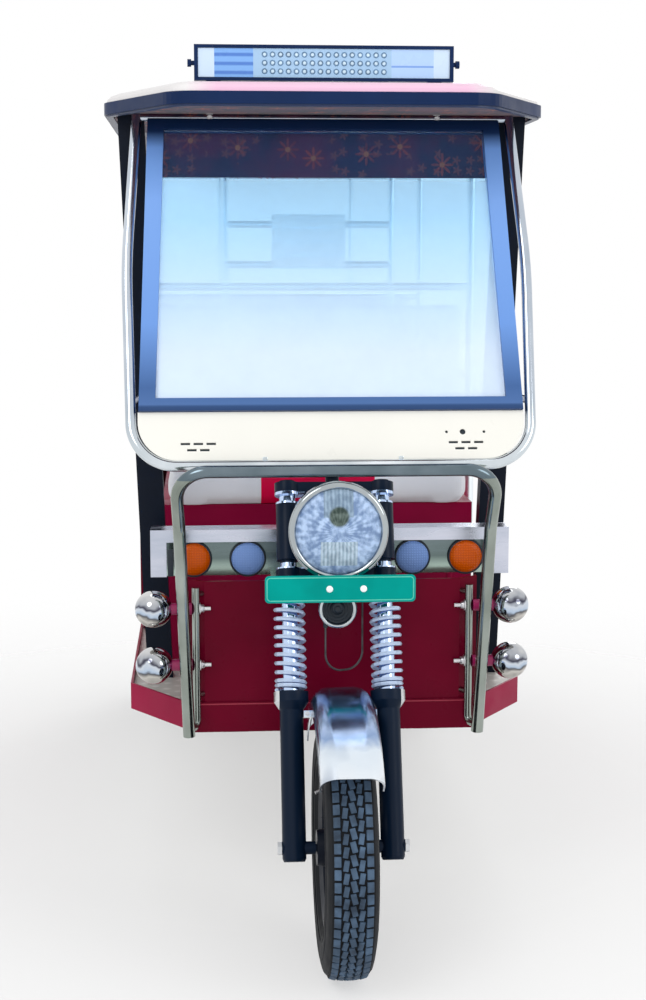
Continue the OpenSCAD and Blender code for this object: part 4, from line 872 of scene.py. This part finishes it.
def make_tyre(name, centre, body, node, sizes):
    """A carcass turned from its section, with rows of tread blocks round it."""
    lo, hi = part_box(node)
    outer = (hi.z - lo.z) / 2
    half = (hi.x - lo.x) / 2
    bead = 0.1535
    deep = sizes.tread_depth
    crown = outer - deep
    section = [
        (bead, -half * 0.62), (bead + 0.004, -half * 0.78), (bead + 0.012, -half * 0.88),
        (bead + 0.014, -half * 0.93), (bead + 0.030, -half * 0.985), (bead + 0.046, -half),
        (bead + 0.060, -half * 0.985), (bead + 0.070, -half * 0.95), (crown - 0.010, -half * 0.90),
        (crown - 0.004, -half * 0.80), (crown - 0.001, -half * 0.5), (crown, 0),
    ]
    section += [(r, -x) for r, x in reversed(section[:-1])]
    bm = bmesh.new()
    verts = [bm.verts.new(centre + Vector((x, 0, r))) for r, x in section]
    edges = [bm.edges.new(pair) for pair in zip(verts, verts[1:])] + [bm.edges.new((verts[-1], verts[0]))]
    bmesh.ops.spin(bm, geom=verts + edges, cent=centre, axis=X_AXIS, angle=FULL_TURN, steps=96, use_merge=True)
    bmesh.ops.remove_doubles(bm, verts=bm.verts[:], dist=1e-5)
    bmesh.ops.recalc_face_normals(bm, faces=bm.faces[:])
    for side in SIDES:
        for r, x in ((bead + 0.0225, half * 0.972), (bead + 0.056, half * 0.99)):
            ring(bm, centre + Vector((side * x, 0, 0)), X_AXIS, r, 0.0012, segments=6, steps=96)
    pitch = FULL_TURN / sizes.tread_pitches
    length = outer * pitch
    rows = [  # across, width, length, skew in degrees, offset round in pitches, drop
        (0.0, 0.22, 0.86, 14, 0.0, 0.0),
        (0.29, 0.20, 0.84, -10, 0.4, 0.0006), (-0.29, 0.20, 0.84, -10, 0.4, 0.0006),
        (0.60, 0.26, 0.80, 0, 0.1, 0.0024), (-0.60, 0.26, 0.80, 0, 0.1, 0.0024),
    ]
    for across, width, long, skew, offset, drop in rows:
        before = set(bm.verts)
        tilt = Matrix.Rotation(math.asin(across) * 0.42, 4, "Y")
        skewed = Matrix.Rotation(math.radians(skew), 4, "Z")
        spot = Vector((half * across, 0, outer - deep * 0.5 - drop))
        block(bm, (0, 0, 0), (half * width, length * long, deep), 0.0008, tilt @ skewed, 1)
        new = [v for v in bm.verts if v not in before]
        place = Matrix.Translation(centre) @ Matrix.Rotation(offset * pitch, 4, "X") @ Matrix.Translation(spot)
        bmesh.ops.transform(bm, matrix=place, verts=new)
        geom = new + list({e for v in new for e in v.link_edges}) + list({f for v in new for f in v.link_faces})
        steps = sizes.tread_pitches - 1
        bmesh.ops.spin(bm, geom=geom, cent=centre, axis=X_AXIS, angle=pitch * steps, steps=steps, use_duplicate=True)
    return piece(name, bm, MATS["tyre"], body, replaces=(node,))


class RICKSHAW_OT_tyres(bpy.types.Operator):
    """Make the treaded tyres"""

    bl_idname = "rickshaw.tyres"
    bl_label = "Tyres"

    def execute(self, context):
        sizes = context.scene.rickshaw_sizes
        right = Vector((-REAR_AXLE_LEFT.x, REAR_AXLE_LEFT.y, REAR_AXLE_LEFT.z))
        make_tyre("front_tread", FRONT_AXLE, "front_wheel", "front_tyre", sizes)
        make_tyre("rear_tread_left", REAR_AXLE_LEFT, "rear_wheel_left", "rear_tyre_left", sizes)
        make_tyre("rear_tread_right", right, "rear_wheel_right", "rear_tyre_right", sizes)
        return {"FINISHED"}


class RICKSHAW_OT_wheel_fittings(bpy.types.Operator):
    """Add wheel nuts, hub caps and valves"""

    bl_idname = "rickshaw.wheel_fittings"
    bl_label = "Wheel fittings"

    def execute(self, context):
        r = context.scene.rickshaw_sizes.bolt_r
        right = Vector((-REAR_AXLE_LEFT.x, REAR_AXLE_LEFT.y, REAR_AXLE_LEFT.z))
        wheels = (("front", FRONT_AXLE, "front_wheel", SIDES), ("rear_left", REAR_AXLE_LEFT, "rear_wheel_left", (1,)),
                  ("rear_right", right, "rear_wheel_right", (-1,)))
        for name, centre, body, faces in wheels:
            bm = bmesh.new()
            for side in faces:
                out = X_AXIS * side
                disc = 0.0015 if side > 0 else 0.0185
                for k in range(5):
                    angle = FULL_TURN * (k + 0.5) / 5
                    spot = Vector((0, math.cos(angle), math.sin(angle))) * 0.054
                    hex_bolt(bm, centre + spot + out * disc, out, r)
                valve = Vector((0, math.sin(0.6), math.cos(0.6)))
                foot = centre + valve * 0.122 + out * (disc + 0.001)
                rod(bm, foot, foot + (out * 0.8 - valve * 0.35).normalized() * 0.034, 0.0035, 10)
            if name != "front":
                side = faces[0]
                cap = centre + X_AXIS * side * 0.0525
                ring(bm, cap, X_AXIS, 0.0245, 0.0035)
                hex_bolt(bm, cap + X_AXIS * side * 0.0005, X_AXIS * side, 0.0155, 0.006)
            piece(name + "_wheel_nuts", bm, MATS["zinc"], body)
        return {"FINISHED"}


# Front: lamps, horn, plate and guard


class RICKSHAW_OT_headlamp(bpy.types.Operator):
    """Dress the headlamp with its rim, bulb and shade"""

    bl_idname = "rickshaw.headlamp"
    bl_label = "Headlamp"

    def execute(self, context):
        lo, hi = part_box("headlamp_shell")
        centre = Vector((0, lo.y, (lo.z + hi.z) / 2))
        radius = (hi.z - lo.z) / 2
        bm = bmesh.new()
        ring(bm, centre + Y_AXIS * 0.004, Y_AXIS, radius - 0.0075, 0.0068, segments=16, steps=96)
        ring(bm, centre + Y_AXIS * 0.013, Y_AXIS, radius - 0.0025, 0.0024, steps=96)
        block(bm, centre + Vector((0, 0.010, -radius + 0.004)), (0.012, 0.012, 0.006), 0.0015)
        piece("headlamp_rim", bm, MATS["chrome"], "steering")
        bm = bmesh.new()
        inside = centre + Y_AXIS * 0.016
        bulb = [(0, 0.038), (0.019, 0.038), (0.019, 0.018), (0.016, 0.012), (0.008, 0.009), (0, 0.008)]
        turned(bm, bulb, inside, Y_AXIS, 24)
        for k in range(3):
            angle = FULL_TURN * k / 3 + 0.5
            spoke = Vector((math.cos(angle), 0, math.sin(angle)))
            rod(bm, inside + Y_AXIS * 0.026 + spoke * 0.018, inside + Y_AXIS * 0.026 + spoke * 0.045, 0.0016, 8)
        piece("headlamp_bulb", bm, MATS["pale"], "steering")
        bm = bmesh.new()
        shade = inside + Vector((0, 0.004, 0.030))
        turned(bm, [(0, 0.0), (0.012, 0.001), (0.021, 0.005), (0.024, 0.012), (0, 0.012)], shade, Y_AXIS, 32)
        piece("headlamp_shade", bm, MATS["shade"], "steering")
        return {"FINISHED"}


class RICKSHAW_OT_horn(bpy.types.Operator):
    """Dress the horn with its bright ring and ridged face"""

    bl_idname = "rickshaw.horn"
    bl_label = "Horn"

    def execute(self, context):
        lo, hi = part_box("horn")
        radius = (hi.x - lo.x) / 2
        centre = Vector((0, lo.y, lo.z + radius))
        bm = bmesh.new()
        ring(bm, centre + Y_AXIS * 0.004, Y_AXIS, radius - 0.003, 0.0046, segments=14, steps=64)
        piece("horn_ring", bm, MATS["chrome"], "steering")
        bm = bmesh.new()
        for r in (0.012, 0.018, 0.024):
            ring(bm, centre + Y_AXIS * 0.006, Y_AXIS, r, 0.0013, segments=8, steps=40)
        turned(bm, [(0, 0.0), (0.005, 0.0005), (0.0075, 0.003), (0.0075, 0.008), (0, 0.008)], centre, Y_AXIS, 24)
        piece("horn_grille", bm, MATS["moulding"], "steering")
        return {"FINISHED"}


class RICKSHAW_OT_plate(bpy.types.Operator):
    """Give the blank number plate its pale border and screws"""

    bl_idname = "rickshaw.plate"
    bl_label = "Number plate"

    def execute(self, context):
        lo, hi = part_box("number_plate")
        width, height, middle = hi.x - lo.x, 0.053, 0.736
        face = lo.y
        bm = bmesh.new()
        bar = 0.0022
        for side in SIDES:
            block(bm, (0, face, middle + side * (height / 2 - 0.004)), (width - 0.022, 0.0016, bar), 0.0004)
            block(bm, (side * (width / 2 - 0.004), face, middle), (bar, 0.0016, height - 0.022), 0.0004)
            for high in SIDES:
                corner = Vector((side * (width / 2 - 0.011), face, middle + high * (height / 2 - 0.011)))
                start = Vector((side, 0, 0)) if side * high > 0 else Vector((0, 0, high))
                ring(bm, corner, -Y_AXIS, 0.007, bar / 2, arc=math.pi / 2, start=start, segments=8, steps=10)
        piece("plate_border", bm, MATS["plate_edge"], "steering")
        bm = bmesh.new()
        screw = [(0, 0.0035), (0.004, 0.003), (0.0066, 0.001), (0.0066, -0.0005), (0.0028, -0.0005),
                 (0.0028, -0.004), (0, -0.004)]
        for side in SIDES:
            turned(bm, screw, Vector((0.012 + side * 0.033, face, middle)), -Y_AXIS, 20)
        piece("plate_screws", bm, MATS["pale"], "steering")
        return {"FINISHED"}


class RICKSHAW_OT_front_fittings(bpy.types.Operator):
    """Add the guard's bolts, lamp rims, screen clips, the panel's fold, dark blocks as painted shade in the bar's
    recess corners and the cowl's tabs
    """

    bl_idname = "rickshaw.front_fittings"
    bl_label = "Front fittings"

    def execute(self, context):
        r = context.scene.rickshaw_sizes.bolt_r
        balls_lo, balls_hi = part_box("guard_balls")
        leg_y = (balls_lo.y + balls_hi.y) / 2
        leg_x = 0.272
        bm = bmesh.new()
        for side in SIDES:
            for z in (balls_lo.z + BALL_R, balls_hi.z - BALL_R):
                hex_bolt(bm, (side * (leg_x + 0.001), leg_y, z), (-side, 0, 0), r)
                rod(bm, (side * (leg_x - 0.008), leg_y, z), (side * (leg_x - 0.022), leg_y, z), 0.0045, 12)
        piece("guard_bolts", bm, MATS["zinc"], "body")
        lo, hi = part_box("front_lamps")
        bm = bmesh.new()
        for x in (-0.284, -0.172, 0.172, 0.284):
            ring(bm, (x, lo.y + 0.0115, (lo.z + hi.z) / 2), Y_AXIS, 0.0355, 0.0026, steps=48)
        piece("lamp_rims", bm, MATS["moulding"], "body")
        bm = bmesh.new()
        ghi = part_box("windscreen_gasket")[1]
        for side in SIDES:
            block(bm, (side * 0.242, ghi.y + 0.004, ghi.z + 0.006), (0.016, 0.030, 0.020), 0.003)
            foot = Vector((side * 0.242, ghi.y - 0.020, ghi.z - 0.006))
            rod(bm, foot, foot + Vector((0, 0.008, 0.010)), 0.004, 16, 0.007)
        piece("screen_clips", bm, MATS["pale"], "body")
        bm = bmesh.new()
        plo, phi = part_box("front_panel")
        block(bm, (0, plo.y, 0.459), (2 * phi.x - 0.03, 0.003, 0.003), 0.0008)
        piece("panel_fold", bm, MATS["fold"], "body")
        bm = bmesh.new()
        # Painted shade: dark blocks put in the corners of the bar's recess, where it lies in shade.
        bar_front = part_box("light_bar")[0].y
        for side in SIDES:
            block(bm, (side * 0.331, bar_front + 0.0155, 0.752), (0.012, 0.003, 0.056), 0.001)
        piece("light_bar_recess_shade", bm, MATS["moulding"], "body")
        bm = bmesh.new()
        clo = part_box("cowl")[0]
        for side in SIDES:
            block(bm, (side * 0.138, clo.y + 0.001, clo.z + 0.003), (0.010, 0.006, 0.009), 0.0015)
            hex_bolt(bm, (side * 0.138, clo.y - 0.002, clo.z + 0.004), (0, -1, 0), 0.003)
        piece("cowl_tabs", bm, MATS["rail"], "body")
        lean = Matrix.Rotation(-SCREEN_LEAN, 4, "X")
        bm = bmesh.new()
        for side in SIDES:
            at = lean @ Vector((side * 0.27, 0.0034, 0.053))
            at += Vector((0, FRONT_AXLE.y + SCREEN_FOOT[0], SCREEN_FOOT[1]))
            block(bm, at, (0.118, 0.0024, 0.064), 0.0008, lean)
        piece("cowl_backing", bm, MATS["moulding"], "body")
        return {"FINISHED"}


class RICKSHAW_OT_mudguard(bpy.types.Operator):
    """Add the bolts of the front mudguard's stays"""

    bl_idname = "rickshaw.mudguard"
    bl_label = "Front mudguard trim"

    def execute(self, context):
        bm = bmesh.new()
        for side in SIDES:
            hex_bolt(bm, fork_point(side * 0.0645, -0.012, 0.256), -STEER_BACK, 0.0035)
        piece("mudguard_bolts", bm, MATS["zinc"], "steering")
        return {"FINISHED"}


# Roof and light board


class RICKSHAW_OT_light_board(bpy.types.Operator):
    """Add the rows of light dots with their rims"""

    bl_idname = "rickshaw.light_board"
    bl_label = "Light board"

    def execute(self, context):
        sizes = context.scene.rickshaw_sizes
        lo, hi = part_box("light_board_face")
        middle_z = (lo.z + hi.z) / 2
        bm, rims = bmesh.new(), bmesh.new()
        columns, rows = 16, 3
        for i in range(columns):
            for j in range(rows):
                at = Vector(((i - (columns - 1) / 2) * 0.0168, lo.y - 0.0002, middle_z + (j - 1) * 0.0172))
                matrix = Matrix.Translation(at) @ Matrix.Diagonal((1, 0.45, 1, 1))
                bmesh.ops.create_icosphere(bm, subdivisions=2, radius=sizes.dot_r * 0.62, matrix=matrix)
                ring(rims, at, Y_AXIS, sizes.dot_r * 0.8, 0.0012, segments=6, steps=20)
        piece("board_dots", bm, MATS["dots"], "body")
        piece("board_dot_rims", rims, MATS["dot_rims"], "body")
        return {"FINISHED"}


class RICKSHAW_OT_roof_trim(bpy.types.Operator):
    """Add the rear rivets of the roof's edge trim, the lined panel over the windscreen and the partition's slats"""

    bl_idname = "rickshaw.roof_trim"
    bl_label = "Roof trim"

    def execute(self, context):
        lo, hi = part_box("roof_trim")
        bm = bmesh.new()
        z = (lo.z + hi.z) / 2
        for k in range(5):
            x = (k - 2) * 0.13
            rod(bm, (x, hi.y - 0.001, z), (x, hi.y + 0.0022, z), 0.005, 12, 0.003)
        piece("trim_rivets", bm, MATS["zinc"], "body")
        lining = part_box("roof_liner")[0].z
        bottom, half, round_r = 1.541, 0.375, 0.02
        bm = bmesh.new()
        block(bm, (0, FRONT_AXLE.y + 0.6, (lining + bottom) / 2), (2 * half, 0.008, lining - bottom - 0.0003), 0)
        through = [e for e in bm.edges if abs(e.verts[0].co.y - e.verts[1].co.y) > 0.004]
        corners = [e for e in through if e.verts[0].co.z < bottom + 0.01]
        bevel_edges(bm, corners, round_r, 6)
        piece("header_panel", bm, MATS["liner"], "body")
        plo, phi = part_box("partition_frame")
        face = (plo.y + phi.y) / 2 - 0.0128
        bm = bmesh.new()
        for k in range(4):
            block(bm, (0, face, 1.3615 + k * 0.033), (0.181, 0.003, 0.030), 0.001)
        piece("partition_slats", bm, MATS["pale"], "body")
        return {"FINISHED"}


# Floor, boxes and rear body


class RICKSHAW_OT_body_trim(bpy.types.Operator):
    """Add the boxes' frames, the arches' lips, the rear panel's swages and the tail lamps' bezels"""

    bl_idname = "rickshaw.body_trim"
    bl_label = "Body trim"

    def execute(self, context):
        bm = bmesh.new()
        for node in ("front_seat_box", "rear_seat_box"):
            lo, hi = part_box(node)
            face = lo.y
            mid = (lo.z + hi.z) / 2
            for x in (-0.17, 0.17):
                for side in SIDES:
                    block(bm, (x, face, mid + side * 0.115), (0.29, 0.006, 0.012), 0.002)
                    block(bm, (x + side * 0.139, face, mid), (0.012, 0.006, 0.242), 0.002)
                block(bm, (x, face - 0.003, mid + 0.06), (0.05, 0.008, 0.012), 0.003)
        piece("box_frames", bm, MATS["red_panel"], "body")

        bm = bmesh.new()
        qlo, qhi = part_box("quarter_panels")
        right = Vector((-REAR_AXLE_LEFT.x, REAR_AXLE_LEFT.y, REAR_AXLE_LEFT.z))
        reach = 0.292
        lowest = qlo.z + 0.004
        first = math.asin((lowest - REAR_AXLE_LEFT.z) / reach)
        last = math.acos((qhi.y - 0.004 - REAR_AXLE_LEFT.y) / reach)
        arc = math.pi - first - last
        for side, hub in ((1, REAR_AXLE_LEFT), (-1, right)):
            centre = Vector((side * (qhi.x - 0.002), hub.y, hub.z))
            start = Vector((0, -math.cos(first), math.sin(first)))
            ring(bm, centre, -X_AXIS, reach, 0.0055, arc=arc, start=start, segments=12, steps=64)
            strip = (0.006, qhi.y - qlo.y - 0.02, 0.018)
            block(bm, (side * (qhi.x + 0.001), (qlo.y + qhi.y) / 2, qhi.z - 0.045), strip, 0.0025)
        piece("arch_lips", bm, MATS["stainless"], "body")

        bm = bmesh.new()
        rlo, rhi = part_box("rear_panel")
        for z in (0.56, 0.64, 0.72):
            block(bm, (0, rhi.y, z), (0.56, 0.008, 0.022), 0.0035, segments=3)
        for side in SIDES:
            block(bm, (side * (rhi.x - 0.018), rhi.y, (rlo.z + rhi.z) / 2), (0.014, 0.006, 0.46), 0.0025)
        piece("rear_panel_swages", bm, MATS["maroon"], "body")

        bm = bmesh.new()
        tlo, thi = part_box("tail_lamps")
        for side in SIDES:
            x = side * (thi.x - 0.04)
            z = (tlo.z + thi.z) / 2
            for high in SIDES:
                block(bm, (x, rhi.y + 0.003, z + high * 0.079), (0.094, 0.010, 0.010), 0.003)
                block(bm, (x + high * 0.0445, rhi.y + 0.003, z), (0.010, 0.010, 0.160), 0.003)
        piece("tail_lamp_bezels", bm, MATS["chrome"], "body")
        return {"FINISHED"}


class RICKSHAW_OT_stage(bpy.types.Operator):
    """Set the floor, lights, world and camera"""

    bl_idname = "rickshaw.stage"
    bl_label = "Stage"

    def execute(self, context):
        scene = context.scene
        scene.view_settings.view_transform = "Standard"
        bm = bmesh.new()
        bmesh.ops.create_grid(bm, x_segments=1, y_segments=1, size=30)
        mesh = bpy.data.meshes.new("studio_floor")
        bm.to_mesh(mesh)
        bm.free()
        floor = bpy.data.objects.new("studio_floor", mesh)
        scene.collection.objects.link(floor)
        ground = bpy.data.materials.new("studio_floor")
        ground.use_nodes = True
        tree = ground.node_tree
        shader = tree.nodes["Principled BSDF"]
        shader.inputs["Base Color"].default_value = (0.97, 0.97, 0.97, 1)
        shader.inputs["Roughness"].default_value = 0.9
        coords = tree.nodes.new("ShaderNodeTexCoord")
        away = tree.nodes.new("ShaderNodeVectorMath")
        away.operation = "LENGTH"
        fade = tree.nodes.new("ShaderNodeMapRange")
        fade.inputs["From Min"].default_value = 0.9
        fade.inputs["From Max"].default_value = 2.8
        fade.inputs["To Min"].default_value = 0.45
        clear = tree.nodes.new("ShaderNodeBsdfTransparent")
        mixed = tree.nodes.new("ShaderNodeMixShader")
        tree.links.new(coords.outputs["Object"], away.inputs[0])
        tree.links.new(away.outputs["Value"], fade.inputs["Value"])
        tree.links.new(fade.outputs[0], mixed.inputs[0])
        tree.links.new(shader.outputs[0], mixed.inputs[1])
        tree.links.new(clear.outputs[0], mixed.inputs[2])
        tree.links.new(mixed.outputs[0], tree.nodes["Material Output"].inputs["Surface"])
        mesh.materials.append(ground)

        world = bpy.data.worlds.new("studio")
        scene.world = world
        world.use_nodes = True
        tree = world.node_tree
        background = tree.nodes["Background"]
        path = tree.nodes.new("ShaderNodeLightPath")
        seen = tree.nodes.new("ShaderNodeMath")
        seen.operation = "MAXIMUM"
        tree.links.new(path.outputs["Is Camera Ray"], seen.inputs[0])
        tree.links.new(path.outputs["Is Glossy Ray"], seen.inputs[1])
        seen_too = tree.nodes.new("ShaderNodeMath")
        seen_too.operation = "MAXIMUM"
        tree.links.new(seen.outputs[0], seen_too.inputs[0])
        tree.links.new(path.outputs["Is Transmission Ray"], seen_too.inputs[1])
        strength = tree.nodes.new("ShaderNodeMapRange")
        strength.inputs["To Min"].default_value = 0.66
        strength.inputs["To Max"].default_value = 1.0
        tree.links.new(seen_too.outputs[0], strength.inputs["Value"])
        tree.links.new(strength.outputs[0], background.inputs["Strength"])
        background.inputs["Color"].default_value = (1, 1, 1, 1)

        for name, place, aim, size, power in (
            ("key", (-2.6, -4.4, 4.2), (0, -0.6, 0.9), 2.6, 56),
            ("fill", (3.4, -3.6, 2.4), (0, -0.4, 0.8), 2.2, 31),
            ("front", (-0.3, -5.6, 1.3), (0, -0.2, 0.8), 2.4, 64),
            ("top", (0, 0.6, 5.0), (0, 0, 0.8), 3.0, 22),
            ("back", (1.5, 4.6, 3.2), (0, 0.6, 0.9), 2.4, 50),
        ):
            lamp = bpy.data.lights.new(name, "AREA")
            lamp.shape = "DISK"
            lamp.size = size
            lamp.energy = power
            obj = bpy.data.objects.new(name, lamp)
            obj.visible_glossy = name != "front"
            scene.collection.objects.link(obj)
            obj.location = place
            obj.rotation_euler = (Vector(aim) - Vector(place)).to_track_quat("-Z", "Y").to_euler()

        camera = bpy.data.cameras.new("photo_camera")
        camera.sensor_fit = "VERTICAL"
        camera.sensor_height = 24
        camera.lens = 24 * 1725.4 / 1000
        obj = bpy.data.objects.new("photo_camera", camera)
        scene.collection.objects.link(obj)
        obj.location = (-0.259, FRONT_AXLE.y - 3.184, 1.365)
        yaw, pitch = math.radians(3.94), math.radians(7.91)
        look = Vector((math.sin(yaw) * math.cos(pitch), math.cos(yaw) * math.cos(pitch), -math.sin(pitch)))
        obj.rotation_euler = look.to_track_quat("-Z", "Y").to_euler()
        scene.camera = obj
        return {"FINISHED"}


class RICKSHAW_PT_panel(bpy.types.Panel):
    """Lists the rickshaw's sizes, colours and operators"""

    bl_idname = "RICKSHAW_PT_panel"
    bl_label = "Auto rickshaw"
    bl_space_type = "VIEW_3D"
    bl_region_type = "UI"
    bl_category = "Rickshaw"

    def draw(self, context):
        column = self.layout.column()
        for group in (context.scene.rickshaw_sizes, context.scene.rickshaw_colours):
            for name in group.__annotations__:
                column.prop(group, name)
        for operator in OPERATORS:
            column.operator(operator.bl_idname)


GROUPS = (RickshawColours, RickshawSizes)
OPERATORS = (
    RICKSHAW_OT_stage, RICKSHAW_OT_finishes, RICKSHAW_OT_seats, RICKSHAW_OT_tyres, RICKSHAW_OT_wheel_fittings,
    RICKSHAW_OT_headlamp, RICKSHAW_OT_horn, RICKSHAW_OT_plate, RICKSHAW_OT_front_fittings, RICKSHAW_OT_mudguard,
    RICKSHAW_OT_light_board, RICKSHAW_OT_roof_trim, RICKSHAW_OT_body_trim,
)
CLASSES = GROUPS + OPERATORS + (RICKSHAW_PT_panel,)


def register():
    for cls in CLASSES:
        bpy.utils.register_class(cls)
    bpy.types.Scene.rickshaw_colours = PointerProperty(type=RickshawColours)
    bpy.types.Scene.rickshaw_sizes = PointerProperty(type=RickshawSizes)


def unregister():
    del bpy.types.Scene.rickshaw_sizes
    del bpy.types.Scene.rickshaw_colours
    for cls in reversed(CLASSES):
        bpy.utils.unregister_class(cls)


def main():
    register()
    for operator in OPERATORS:
        area, name = operator.bl_idname.split(".")
        getattr(getattr(bpy.ops, area), name)()


if __name__ == "__main__":
    main()
